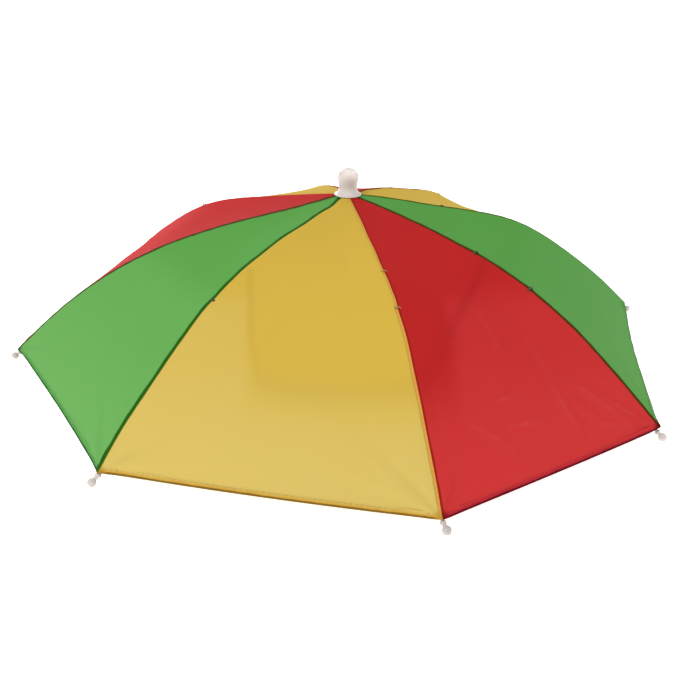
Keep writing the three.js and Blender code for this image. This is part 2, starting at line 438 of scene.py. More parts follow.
def weave_height(tree, pitch):
    """The over and under of a plain weave with threads a pitch apart, as a height."""
    place = tree.nodes.new("ShaderNodeTexCoord")
    heights = []
    for direction in ("X", "Y"):
        wave = tree.nodes.new("ShaderNodeTexWave")
        wave.bands_direction = direction
        # At a scale of 1 the texture has 20 waves over a length of 2 pi
        wave.inputs["Scale"].default_value = 1 / (pitch * 20) * 2 * math.pi
        wave.inputs["Distortion"].default_value = 0
        tree.links.new(place.outputs["UV"], wave.inputs["Vector"])
        heights.append(wave.outputs["Fac"])
    return math_node(tree, "ADD", heights[0], heights[1])


def add_bump(tree, shader, height, strength, distance):
    bump = tree.nodes.new("ShaderNodeBump")
    bump.inputs["Strength"].default_value = strength
    bump.inputs["Distance"].default_value = distance
    tree.links.new(height, bump.inputs["Height"])
    tree.links.new(bump.outputs["Normal"], shader.inputs["Normal"])


# %% Cloth of one gore
WEAVE_PITCH = 0.45 * MM
# In millimetres, as the distances on the cloth are: where each band begins to fade and has ended
HEM_LINE = (0.5, 1.1)
HEM_BAND = (1.2, 2.4)
CORNER_SPOT = (2.0, 6.5)
# How far inside and outside its width a seam's line fades
LINE_INSIDE = 0.2
LINE_OUTSIDE = 0.5
# How far the lines wobble, how strong the blotches and the corners are, and how much light goes
# through the cloth
LINE_WOBBLE = 0.7
BLOTCH_SHARE = 0.25
CORNER_SHARE = 0.85
LIGHT_THROUGH = 0.22


def cloth_material(name, cloth, lines, corners):
    """Nylon of one colour. A line is a distance's name, a colour and a width, and a later line lies
    over an earlier one. corners holds the colours of the cloth's two lower corners."""
    material, tree, shader = new_material(name)
    dark, light, roll, edge = (paint(code) for code in cloth)
    # Painted light and shade: the crown's colour inside the headband's ring, the hem's colour outside
    colour = mix_colours(tree, attribute(tree, "pale"), dark, light)
    blotch = math_node(tree, "MULTIPLY", object_noise(tree, 26, 4), BLOTCH_SHARE)
    colour = mix_colours(tree, blotch, colour, dark)
    # Painted shade: darker at the crown, along the headband and straps under the cloth, and in folds
    colour = mix_colours(tree, attribute(tree, "through"), colour, edge)
    # Painted highlight: the crests of creases turn paler
    highlight_colour = tuple(0.7 * v + 0.3 for v in light)
    colour = mix_colours(tree, attribute(tree, "crease"), colour, highlight_colour)
    centred = math_node(tree, "SUBTRACT", object_noise(tree, 160, 1), 0.5)
    wobble = math_node(tree, "MULTIPLY", centred, LINE_WOBBLE)
    hem_edge = math_node(tree, "ADD", attribute(tree, "hem_mm"), wobble)
    hem_band = ramp_down(tree, hem_edge, *HEM_BAND)
    colour = mix_colours(tree, hem_band, colour, roll)
    for distance, line, width in lines:
        place = math_node(tree, "ADD", attribute(tree, distance), wobble)
        line_share = ramp_down(tree, place, width - LINE_INSIDE, width + LINE_OUTSIDE)
        colour = mix_colours(tree, line_share, colour, paint(line))
    hem_share = ramp_down(tree, hem_edge, *HEM_LINE)
    colour = mix_colours(tree, hem_share, colour, edge)
    for distance, spot in zip(("first_corner_mm", "second_corner_mm"), corners):
        corner = ramp_down(tree, attribute(tree, distance), *CORNER_SPOT)
        corner = math_node(tree, "MULTIPLY", corner, CORNER_SHARE)
        colour = mix_colours(tree, corner, colour, paint(spot))
    tree.links.new(colour, shader.inputs["Base Color"])
    shader.inputs["Roughness"].default_value = 0.7
    shader.inputs["Specular IOR Level"].default_value = 0.03
    add_bump(tree, shader, weave_height(tree, WEAVE_PITCH), 0.12, 0.06 * MM)
    through = tree.nodes.new("ShaderNodeBsdfTranslucent")
    tree.links.new(colour, through.inputs["Color"])
    both = tree.nodes.new("ShaderNodeMixShader")
    both.inputs["Fac"].default_value = LIGHT_THROUGH
    tree.links.new(shader.outputs["BSDF"], both.inputs[1])
    tree.links.new(through.outputs["BSDF"], both.inputs[2])
    tree.links.new(both.outputs["Shader"], tree.nodes["Material Output"].inputs["Surface"])
    return material


print("threads in a centimetre of cloth:", round(10 * MM / WEAVE_PITCH))

# %% [markdown]
# ## Shape of the cloth
# A gore is stretched between two ribs. Across, it is nearly straight and sinks a little in its middle,
# and along, it follows the ribs' curve. On top of that come the small forms that make it cloth: folds
# that fan out of the corners where the tips pull, creases from being folded away, puckers along the
# sewn seams, and a slow wave from uneven tension. A cloth simulation could find such forms, but cloth
# as taut as this hardly moves. So each is a short function of the place on the gore, and the creases
# lie where the real hat has them.

# %% The gores and their seams
# For each gore, from the one between ribs 0 and 1: its cloth and how far its hem bows out past the
# straight line between its corners, in millimetres
GORES = [
    (YELLOW, 0.0),
    (RED, 0.0),
    (YELLOW, 0.0),
    (RED, 0.0),
    (GREEN, -0.9),
    (YELLOW, 2.4),
    (RED, 0.6),
    (GREEN, -2.4),
]
# For each rib: the lines on the gore before it, in the order in which they lie on each other, the
# line on the gore after it, and the colours of the doubled cloth in the corners of those two gores.
# A line is a colour and a width in millimetres.
TURNED_EDGE = [("#a48c34", 1.8), ("#d6924a", 1.3)]
SEAMS = [
    ([("#2a4c10", 1.7)], [("#46560f", 0.9)], ("#1c3c12", "#4c4410")),
    ([("#7a4a18", 2.2)], [("#8a240c", 1.1)], ("#a07a26", "#7a1018")),
    ([("#74200c", 0.8)], [("#7a4a12", 0.5)], ("#7a1018", "#a07a26")),
    (TURNED_EDGE, [("#8a240c", 1.1)], ("#a07a26", "#7a1018")),
    ([("#5a2a10", 3.0)], [("#30480f", 1.8)], ("#143c1c", "#143c1c")),
    ([("#1f5a10", 2.7)], [("#8a7a20", 0.3)], ("#2c5a1c", "#a07a26")),
    (TURNED_EDGE, [("#8a240c", 1.1)], ("#b08a30", "#700a16")),
    ([("#5c2410", 1.5)], [("#36460f", 1.4)], ("#5a0a12", "#5a0a12")),
]
# The turned-in edge is narrower above the tie: its width there as a share of that below
TURNED_NARROW = 0.7
TURNED_TIE = 0.57
TURNED_STEP = 0.02
print([cloth[0] for cloth, _ in GORES])

# %% Creases
# A crease runs straight on the flat gore between two places, each a share of the way down and a
# share of the way across. Its height and width follow, in millimetres, and how pale a painted
# highlight makes its crest.
CREASES = [
    (5, 0.45, 0.42, 0.98, 0.30, 0.45, 5.0, 0.0),
    (5, 0.30, 0.70, 0.92, 0.80, -0.30, 6.0, 0.0),
    (5, 0.90, 0.93, 0.99, 0.80, 0.30, 2.4, 0.06),
    (6, 0.45, 0.52, 0.97, 0.40, 0.40, 4.5, 0.0),
    (6, 0.72, 0.70, 0.88, 0.66, 0.35, 2.2, 0.03),
    (6, 0.84, 0.65, 0.98, 0.64, 0.35, 2.2, 0.04),
    (6, 0.88, 0.69, 0.98, 0.67, -0.40, 2.0, 0.0),
    (6, 0.86, 0.18, 0.95, 0.36, 0.45, 2.0, 0.05),
    (6, 0.90, 0.34, 0.91, 0.55, 0.40, 2.0, 0.05),
    (6, 0.845, 0.35, 0.852, 0.52, 0.35, 2.0, 0.04),
    (6, 0.86, 0.76, 0.955, 0.86, 0.35, 3.5, 0.05),
    (6, 0.885, 0.72, 0.950, 0.79, -0.40, 1.6, 0.0),
    (6, 0.62, 0.55, 0.76, 0.50, 0.35, 2.2, 0.04),
    (6, 0.97, 0.94, 0.90, 0.84, 0.60, 2.2, 0.05),
    (6, 0.98, 0.90, 0.95, 0.74, 0.50, 2.0, 0.04),
    (4, 0.40, 0.50, 0.97, 0.55, 0.40, 5.0, 0.0),
    (4, 0.70, 0.25, 0.85, 0.70, -0.35, 5.0, 0.0),
    (7, 0.50, 0.45, 0.96, 0.50, 0.45, 4.0, 0.0),
    (0, 0.45, 0.50, 0.95, 0.45, 0.45, 4.5, 0.0),
    (1, 0.50, 0.55, 0.96, 0.60, 0.40, 5.0, 0.0),
    (2, 0.40, 0.50, 0.97, 0.50, 0.45, 4.0, 0.0),
    (3, 0.50, 0.45, 0.95, 0.40, 0.40, 4.5, 0.0),
]
print("creases on each gore:", [sum(row[0] == i for row in CREASES) for i in range(RIB_COUNT)])

# %% Painted shade of what shows through, and of small folds
# Where the headband and its straps lie under the front gores, painted shade draws soft, darker
# lines, and the shaded sides of a few small folds on gore 6 are painted as dark lines too. For each:
# the gore, the line's half width in millimetres, how dark it is, and its places, down and across.
PAINTED_SHADE_LINES = [
    (5, 2.2, 0.12, [(0.480, 0.050), (0.700, 0.300)]),
    (5, 3.2, 0.08, [(0.700, 0.300), (0.790, 0.390)]),
    (5, 9.0, 0.07, [
        (0.795, 0.420), (0.807, 0.520), (0.805, 0.630), (0.797, 0.750), (0.787, 0.840), (0.770, 1.0),
    ]),
    (6, 3.6, 0.15, [(0.478, 0.960), (0.510, 0.843), (0.625, 0.420), (0.680, 0.260)]),
    (6, 7.0, 0.06, [(0.680, 0.260), (0.755, 0.053), (0.763, 0.0)]),
    (6, 1.1, 0.06, [(0.760, 0.050), (0.900, 0.050), (0.975, 0.060)]),
    (6, 1.0, 0.05, [(0.840, 0.680), (0.970, 0.668)]),
    (6, 1.2, 0.07, [(0.885, 0.735), (0.945, 0.780)]),
    (6, 1.2, 0.08, [(0.940, 0.775), (0.970, 0.850)]),
    (6, 1.0, 0.07, [(0.900, 0.660), (0.945, 0.700)]),
    (6, 1.0, 0.06, [(0.945, 0.880), (0.985, 0.940)]),
]
# Inside the headband's ring the cloth is painted deeper, as painted shade, and outside it paler, as
# painted light. The ring's edge is a share of the way down, and on the front gores it comes down
# further between two shares of the way across.
RING_EDGE = 0.60
RING_SOFTNESS = 0.15
RING_BULGES = [(5, 0.29, 1.30), (6, -0.30, 0.26)]
BULGE_DROP = 0.22
BULGE_SOFTNESS = 0.25
# Outside the ring painted light pales the cloth towards the hem, and on gore 7 by less than half as
# much
PAINTED_LIGHT_PARTS = {7: 0.45}
# How much painted shade darkens the cloth at the crown
CROWN_PAINTED_SHADE = 0.06
print("lines that show through or are folds:", len(PAINTED_SHADE_LINES))

# %% [markdown]
# A place on a gore is two shares: u is the way down from the crown, and t is the way across from the
# rib before it to the rib after it. The plain stretched gore comes first, with its corners pulled out
# by the tips.

# %% The plain gore
# How far each gore's corners are pulled out, at its first and at its second rib, in millimetres
CORNER_PULLS = [
    (-0.4, 0.8),
    (0.8, 0.8),
    (0.8, 0.8),
    (0.8, 0.9),
    (1.3, 1.2),
    (1.2, 0.3),
    (0.3, 1.4),
    (1.0, -0.4),
]
# By rib, how far the cloth stands up at the corner. Both fade to about a third over the reach.
CORNER_LIFTS = {0: 1.4 * MM, 4: 1.4 * MM, 5: 0.6 * MM, 7: 3.4 * MM}
CORNER_REACH = 7 * MM
GORE_WIDTH = 2 * math.sin(math.pi / RIB_COUNT) * CANOPY_RADIUS


def cloth_line(i, u, t, seam_gap):
    """The plain stretched gore i at shares u down and t across, before any fold."""
    first, second = RIB_ANGLES[i], RIB_ANGLES[i + 1]
    middle = (first + second) / 2
    reach = CANOPY_RADIUS * u
    first_side = seam_bend(i, u) + seam_gap
    second_side = seam_bend(i + 1, u) - seam_gap
    start = (
        reach * math.cos(first) - first_side * math.sin(first),
        reach * math.sin(first) + first_side * math.cos(first),
    )
    end = (
        reach * math.cos(second) - second_side * math.sin(second),
        reach * math.sin(second) + second_side * math.cos(second),
    )
    lift = rib_lift(i, u) * (1 - t) + rib_lift(i + 1, u) * t
    bulge = 4 * t * (1 - t)
    slope = line_slope(u)
    dip = GORE_DIP * bulge * np.sin(math.pi * u) ** 2 / np.hypot(1, slope)
    bow = GORES[i][1] * MM * bulge * u**6 - dip * slope
    x = start[0] + (end[0] - start[0]) * t + math.cos(middle) * bow
    y = start[1] + (end[1] - start[1]) * t + math.sin(middle) * bow
    z = CORNER_Z + line_height(u) + lift - dip
    points = np.stack(np.broadcast_arrays(x, y, z), -1)
    # The tips pull the cloth of the corners out and up
    for rib, seam_off, pull in ((i, t, CORNER_PULLS[i][0]), (i + 1, 1 - t, CORNER_PULLS[i][1])):
        out = np.array([math.cos(RIB_ANGLES[rib]), math.sin(RIB_ANGLES[rib]), -line_slope(1)])
        away = np.hypot(seam_off * GORE_WIDTH * u, (1 - u) * RIB_LENGTH)
        shift = out * pull * MM + np.array([0, 0, CORNER_LIFTS.get(rib % RIB_COUNT, 0.0)])
        points = points + shift * np.exp(-away / CORNER_REACH)[..., None]
    return points


print("a gore is", round(GORE_WIDTH, 4), "m wide between its corners")

# %% Creases as heights
# The share of a crease's length over which it rises from nothing, at either end
CREASE_END = 0.2


def soft_step(value):
    """0 below 0 and 1 above 1, with a soft step between."""
    value = np.clip(value, 0, 1)
    return value * value * (3 - 2 * value)


def flat_place(u, t):
    """The place on the flat gore, down from the crown and across from the middle."""
    down = np.interp(u, ARC_SHARES, ARC_LENGTHS)
    return np.stack(np.broadcast_arrays(down, (t - 0.5) * GORE_WIDTH * u), -1)


def line_share(u, t, u_start, t_start, u_end, t_end, width):
    """1 on a straight line of the flat gore, falling to 0 at its ends and away from it."""
    start = flat_place(u_start, t_start)
    run = flat_place(u_end, t_end) - start
    offset = flat_place(u, t) - start
    along = (offset @ run) / (run @ run)
    aside = (offset[..., 0] * run[1] - offset[..., 1] * run[0]) / np.linalg.norm(run)
    ends = soft_step(along / CREASE_END) * soft_step((1 - along) / CREASE_END)
    return ends * np.exp(-np.abs(aside) / (width * MM))


def crease_height(i, u, t):
    """Heights of the creases of gore i."""
    height = np.zeros(np.broadcast(u, t).shape)
    for gore, *ends, rise, width, _ in CREASES:
        if gore == i:
            height += rise * MM * line_share(u, t, *ends, width)
    return height


def crease_highlight(i, u, t):
    """How pale a painted highlight makes the crests of the creases of gore i."""
    crest_highlight = np.zeros(np.broadcast(u, t).shape)
    for gore, *ends, _, width, pale in CREASES:
        if gore == i:
            crest_highlight += pale * line_share(u, t, *ends, width / 3)
    return crest_highlight


print("tallest crease:", max(abs(row[5]) for row in CREASES), "mm")

# %% Folds at the corners and puckers at the seams
FAN_RISE = 1.1 * MM
FAN_START = 12 * MM
FAN_REACH = 30 * MM
PUCKER_RISE = 0.10 * MM
PUCKER_PITCH = 2.6 * MM          # between radians of its wave, as all pitches of folds here
PUCKER_CHANGE = 11 * MM
PUCKER_START = 1.5 * MM
PUCKER_PLACE = 3 * MM
ALMOST_NOTHING = 1e-6


def corner_fan(i, seam_off, hem_off, turn):
    """Folds that fan out of a corner of gore i."""
    away = np.hypot(seam_off, hem_off)
    fan = np.arctan2(seam_off, hem_off + ALMOST_NOTHING)
    pull = soft_step(away / FAN_START) * np.exp(-away / FAN_REACH)
    rays = np.sin(8 * fan + turn + i) + 0.5 * np.sin(19 * fan + 2 * turn + 3 * i)
    return FAN_RISE * pull * rays * np.sin(1.7 * fan)


def seam_pucker(i, seam_off, hem_off):
    """Puckers beside a seam, from the sewing thread's pull."""
    pucker = np.sin(hem_off / PUCKER_PITCH + 2 * np.sin(hem_off / PUCKER_CHANGE + i))
    pucker = pucker * soft_step(seam_off / PUCKER_START)
    return PUCKER_RISE * pucker * np.exp(-(((seam_off - PUCKER_PLACE) / PUCKER_PLACE) ** 2))


print("folds rise by up to", FAN_RISE, "m and puckers by up to", PUCKER_RISE, "m")

# %% The slow wave, the gathers at the crown and all folds together
WAVE_RISE = 0.30 * MM
WAVE_MARGIN = 30 * MM
GATHER_RISE = 0.25 * MM
GATHER_COUNT = 4
GATHER_REACH = 22 * MM
GATHER_START = 8 * MM
GATHER_FADE = 10 * MM
RIPPLE_RISE = 0.10 * MM
RIPPLE_PITCH = 4.2 * MM
RIPPLE_CHANGE = 19 * MM
RIPPLE_REACH = 5 * MM


def fold_height(i, u, t, first_off, second_off, hem_off):
    """All folds of gore i. The last three are distances from the seams and the hem."""
    height = crease_height(i, u, t)
    for seam_off, turn in ((first_off, 0.0), (second_off, 1.3)):
        height += corner_fan(i, seam_off, hem_off, turn)
        height += seam_pucker(i, seam_off, hem_off)
    wave = np.sin(31 * hem_off + 17 * first_off + i)
    wave = wave + np.sin(44 * second_off - 23 * hem_off + 2 * i)
    inside = soft_step(first_off / WAVE_MARGIN) * soft_step(second_off / WAVE_MARGIN)
    height += WAVE_RISE * wave * inside
    down = u * CANOPY_RADIUS
    gather = np.sin(t * 2 * math.pi * GATHER_COUNT) * np.exp(-down / GATHER_REACH)
    height += GATHER_RISE * gather * soft_step((down - GATHER_START) / GATHER_FADE)
    ripple = np.sin(first_off / RIPPLE_PITCH + 1.5 * np.sin(first_off / RIPPLE_CHANGE + i))
    height += RIPPLE_RISE * ripple * np.exp(-hem_off / RIPPLE_REACH) * inside
    return height


print("the slow wave rises by up to", 2 * WAVE_RISE, "m")

# %% [markdown]
# ## Gores
# Each gore is its own object, as each is its own piece of cloth. One subdivided plane for the whole
# canopy would be less work, but the seams would then be painted lines. Here the cloth turns down into
# each seam and ends there, its turned-in edge lies under the gore before it, and the hem is a flat
# roll of three layers. The grid is finer along the seams and the hem, where those turns are.

# %% A gore's grid
SEAM_GAP = 0.03 * MM
SEAM_SINK = 0.42 * MM
SEAM_SINK_WIDTH = 0.7 * MM
SEAM_TURN = 1.4 * MM
EDGE_STEPS = np.array([0, 0.03, 0.08, 0.16, 0.30, 0.55, 1.0])
EDGE_WIDTH = 5 * MM
ROW_COUNT = 150
COLUMN_COUNT = 56


def gore_shares():
    """Shares down and across for the grid of a gore, finer towards the hem and the seams."""
    body = np.linspace(CLOTH_HOLE / CANOPY_RADIUS, 1 - EDGE_WIDTH / RIB_LENGTH, ROW_COUNT)
    hem = 1 - EDGE_WIDTH / RIB_LENGTH * EDGE_STEPS[-2::-1]
    u = np.concatenate([body, hem])[:, None]
    chord = GORE_WIDTH * u
    edge = np.minimum(EDGE_WIDTH / chord, 0.3)
    left = edge * EDGE_STEPS
    middle = edge + (1 - 2 * edge) * np.linspace(0, 1, COLUMN_COUNT)[1:-1]
    t = np.concatenate([left, middle, 1 - left[:, ::-1]], axis=1)
    return np.broadcast_to(u, t.shape), t


def seam_distances(i, points, u):
    """How far points lie, seen from above, from the two seams of gore i."""
    first, second = RIB_ANGLES[i], RIB_ANGLES[i + 1]
    first_off = points[..., 1] * math.cos(first) - points[..., 0] * math.sin(first)
    second_off = points[..., 0] * math.sin(second) - points[..., 1] * math.cos(second)
    return first_off - seam_bend(i, u), second_off + seam_bend(i + 1, u)


def upward_normals(points):
    along = np.gradient(points, axis=0)
    across = np.gradient(points, axis=1)
    normals = np.cross(along, across)
    normals /= np.linalg.norm(normals, axis=-1, keepdims=True)
    return normals * np.sign(normals[..., 2:])


def cloth_grid(i, u, t):
    """Points of the cloth's top, their normals and their distances from both seams and the hem."""
    points = cloth_line(i, u, t, SEAM_GAP)
    normals = upward_normals(points)
    first_off, second_off = seam_distances(i, points, u)
    # At a seam both gores sink along the rib's own normal, so that their edges stay side by side
    slope = np.broadcast_to(line_slope(u), first_off.shape)[..., None]
    for rib, seam_off in ((i, first_off), (i + 1, second_off)):
        out, _, up = spoke_frame(rib)
        share = np.exp(-((seam_off / SEAM_TURN) ** 2))[..., None]
        normals = normals * (1 - share) + (slope * out + up) / np.hypot(1, slope) * share
    normals /= np.linalg.norm(normals, axis=-1, keepdims=True)
    hem_off = RIB_LENGTH - np.interp(u, ARC_SHARES, ARC_LENGTHS)
    folds = fold_height(i, u, t, first_off, second_off, hem_off)
    for seam_off in (first_off, second_off):
        folds -= SEAM_SINK * np.exp(-((seam_off / SEAM_SINK_WIDTH) ** 2))
    return points + normals * folds[..., None], normals, first_off, second_off, hem_off


print("a gore's grid has", gore_shares()[0].shape, "rows and columns")

# %% The rolled hem and the turned-in edge
CLOTH_THICKNESS = 0.28 * MM
HEM_WIDTH = 3.2 * MM
HEM_THICKNESS = 0.72 * MM
HEM_LIFT = 0.10 * MM
# The roll is a quarter as thick at its ends, and as thick as it gets this far from them
HEM_END = 0.25
HEM_TAPER = 6 * MM
ALLOWANCE_WIDTH = 4.5 * MM
ALLOWANCE_RIPPLE = 0.08 * MM


def hem_body(points, normals, outward):
    """The rolled hem along the last row of the cloth."""
    line = points[-1]
    up = normals[-1]
    out = np.cross(line_runs(line), up)
    out *= np.sign(np.sum(out * outward, axis=1, keepdims=True))
    top, low = HEM_LIFT, HEM_LIFT - HEM_THICKNESS
    middle, half = (top + low) / 2, HEM_THICKNESS / 2
    bend = np.linspace(math.pi / 2, -math.pi / 2, 7)
    section = [(-HEM_WIDTH, middle + half * 0.7)]
    section += [(half * math.cos(a), middle + half * math.sin(a)) for a in bend]
    section += [(-HEM_WIDTH, low)]
    along = np.concatenate([[0], np.cumsum(np.linalg.norm(np.diff(line, axis=0), axis=1))])
    to_corner = np.minimum(along, along[-1] - along)
    scales = HEM_END + (1 - HEM_END) * soft_step(to_corner / HEM_TAPER)
    return swept_body(line, out, up, section, scales=scales)


def allowance_body(i, u):
    """The turned-in edge of gore i, under the gore before it."""
    before = (i - 1) % RIB_COUNT
    chord = GORE_WIDTH * u[:, :1]
    reach = np.minimum(ALLOWANCE_WIDTH / chord, 0.25) * np.linspace(1, 0, 5)
    t = 1 - reach
    points, normals, _, _, _ = cloth_grid(before, np.broadcast_to(u[:, :1], t.shape), t)
    drop = CLOTH_THICKNESS + 0.10 * MM
    ripple = ALLOWANCE_RIPPLE * np.sin(u[:, :1] * 160) * np.linspace(1, 0, 5)
    top = points - normals * (drop + np.abs(ripple))[..., None]
    return sheet_body(top, top - normals * CLOTH_THICKNESS)


print("a hem is", HEM_WIDTH, "m wide and", HEM_THICKNESS, "m thick")

# %% [markdown]
# The cloth isn't lit alike all over: the headband and its straps show through it, and it looks deeper
# inside the headband's ring than outside. Such soft shades could come from more lamps, but then they
# would wander with the light. So they are painted shade and painted light, stored as numbers at the
# points, and stay where the real ones are.


# %% Shades of the cloth
def painted_shade_share(i, u, t):
    """How dark the painted shade makes gore i, at the crown and along what shows through."""
    place = flat_place(u, t)
    darkest = CROWN_PAINTED_SHADE * soft_step((0.5 - u) / 0.35)
    for gore, width, dark, line in PAINTED_SHADE_LINES:
        if gore != i:
            continue
        ends = [flat_place(*spot) for spot in line]
        for start, end in zip(ends, ends[1:]):
            run = end - start
            along = np.clip(((place - start) @ run) / (run @ run), 0, 1)
            away = np.linalg.norm(place - start - along[..., None] * run, axis=-1)
            darkest = np.maximum(darkest, dark * np.exp(-((away / (width * MM)) ** 2)))
    return darkest


def painted_light_share(i, u, t):
    """Painted light and shade: 0 inside the headband's ring, over half just outside it, 1 at the hem.
    """
    edge = np.full(u.shape, RING_EDGE)
    for gore, left, right in RING_BULGES:
        if gore == i:
            from_left = soft_step((t - left) / BULGE_SOFTNESS + 0.5)
            from_right = soft_step((right - t) / BULGE_SOFTNESS + 0.5)
            edge += BULGE_DROP * from_left * from_right
    outside = soft_step((u - edge) / RING_SOFTNESS + 0.5)
    return (0.6 * outside + 0.4 * soft_step((u - 0.7) / 0.3)) * PAINTED_LIGHT_PARTS.get(i, 1.0)


halfway = np.array([0.5])
for gore in (5, 6):
    print("gore", gore, "is this pale halfway down:", painted_light_share(gore, halfway, halfway))


# %% What each point of a gore carries
# A distance in millimetres past every line, for the turned-in edge under the seam
PAST_ALL_LINES = 20.0


def gore_values(i, u, t, offs, main, hem, allowance):
    """Values for the material at each point of gore i: distances in millimetres, and shares."""
    first_off, second_off, hem_off = offs
    every_point = np.concatenate([main[0], hem[0], allowance[0]])
    section_count = len(hem[0]) // u.shape[1]
    rim = HEM_WIDTH / MM
    hem_depth = np.tile([rim] + [0] * (section_count - 2) + [rim], u.shape[1])
    hem_first, hem_second = seam_distances(i, hem[0], 1.0)
    far = np.full(len(allowance[0]), PAST_ALL_LINES)
    below_tie = soft_step((u - TURNED_TIE) / TURNED_STEP + 0.5)
    turned_width = TURNED_NARROW + (1 - TURNED_NARROW) * below_tie
    values = {}
    for key, body, rolled in (
        ("first_mm", first_off, hem_first / MM),
        ("second_mm", second_off, hem_second / MM),
        ("turned_mm", second_off / turned_width, hem_second / MM),
        ("hem_mm", hem_off, hem_depth),
    ):
        flat_values = body.ravel() / MM
        values[key] = np.concatenate([flat_values, flat_values, rolled, far])
    for key, ring in (
        ("first_corner_mm", hem[0][:section_count]),
        ("second_corner_mm", hem[0][-section_count:]),
    ):
        away = np.linalg.norm(every_point - ring.mean(axis=0), axis=1) / MM
        away[-len(far):] = far
        values[key] = away
    # Painted shade, painted light, and the painted highlight on the crests of creases
    for key, share, rest in (
        ("through", painted_shade_share, 0.0),
        ("pale", painted_light_share, 1.0),
        ("crease", crease_highlight, 0.0),
    ):
        numbers = share(i, u, t).ravel()
        values[key] = np.concatenate([numbers, numbers, np.full(len(hem[0]) + len(far), rest)])
    return values


# %% Build the gores
# How steeply the hem's outward direction falls
HEM_FALL = 0.8
# The turned-in edge starts some rows below the crown and ends some rows before the hem
ALLOWANCE_ROWS = slice(10, -4)


def build_gore(i):
    cloth = GORES[i][0]
    before, after = SEAMS[i], SEAMS[(i + 1) % RIB_COUNT]
    u, t = gore_shares()
    points, normals, *offs = cloth_grid(i, u, t)
    flat = np.stack([(t - 0.5) * GORE_WIDTH * u, offs[2]], -1)
    main = sheet_body(points, points - normals * CLOTH_THICKNESS, flat)
    middle = (RIB_ANGLES[i] + RIB_ANGLES[i + 1]) / 2
    hem = hem_body(points, normals, np.array([math.cos(middle), math.sin(middle), -HEM_FALL]))
    allowance = allowance_body(i, u[ALLOWANCE_ROWS])
    values = gore_values(i, u, t, offs, main, hem, allowance)
    turned = "turned_mm" if after[0] is TURNED_EDGE else "second_mm"
    lines = [(turned, *line) for line in after[0]] + [("first_mm", *line) for line in before[1]]
    material = cloth_material(f"cloth_{i + 1}", cloth, lines, (before[2][1], after[2][0]))
    piece = make_object(f"cloth_{i + 1}", [main, hem, allowance], material, values)
    finish_piece(piece, frame["record"]["subparts"][i]["material_slot"], f"gore_{i + 1}")


for number in range(RIB_COUNT):
    build_gore(number)

# %% [markdown]
# ## Stitches and ties
# The hems and seams are sewn with a thread in the cloth's own colour, and at a few places a dark
# thread goes round the rib and through the cloth. Thousands of stitches set by hand or by arrays would
# be slow to change. So a thread is drawn once, as a short bow or a small ring, and Geometry Nodes
# puts a copy at each point, turned by two directions that the point carries: face, the way its top
# looks, and run, the way it goes.

# %% Nodes that sew
THREAD_SIDES = 6
BOW_STEPS = 5
RING_STEPS = 14


def thread_line(tree, given, ring):
    """The line of one thread: a ring, or a bow whose ends sink into the cloth."""
    links = tree.links
    half = math_node(tree, "MULTIPLY", given.outputs["Length"], 0.5)
    if ring:
        curve = tree.nodes.new("GeometryNodeCurvePrimitiveCircle")
        curve.inputs["Resolution"].default_value = RING_STEPS
        links.new(half, curve.inputs["Radius"])
        return curve.outputs["Curve"]
    curve = tree.nodes.new("GeometryNodeCurveQuadraticBezier")
    curve.inputs["Resolution"].default_value = BOW_STEPS
    back = math_node(tree, "MULTIPLY", given.outputs["Length"], -0.5)
    sunk = math_node(tree, "MULTIPLY", given.outputs["Rise"], -0.6)
    top = math_node(tree, "MULTIPLY", given.outputs["Rise"], 2.0)
    for end, x, z in (("Start", back, sunk), ("Middle", None, top), ("End", half, sunk)):
        place = tree.nodes.new("ShaderNodeCombineXYZ")
        if x is not None:
            links.new(x, place.inputs["X"])
        links.new(z, place.inputs["Z"])
        links.new(place.outputs["Vector"], curve.inputs[end])
    return curve.outputs["Curve"]


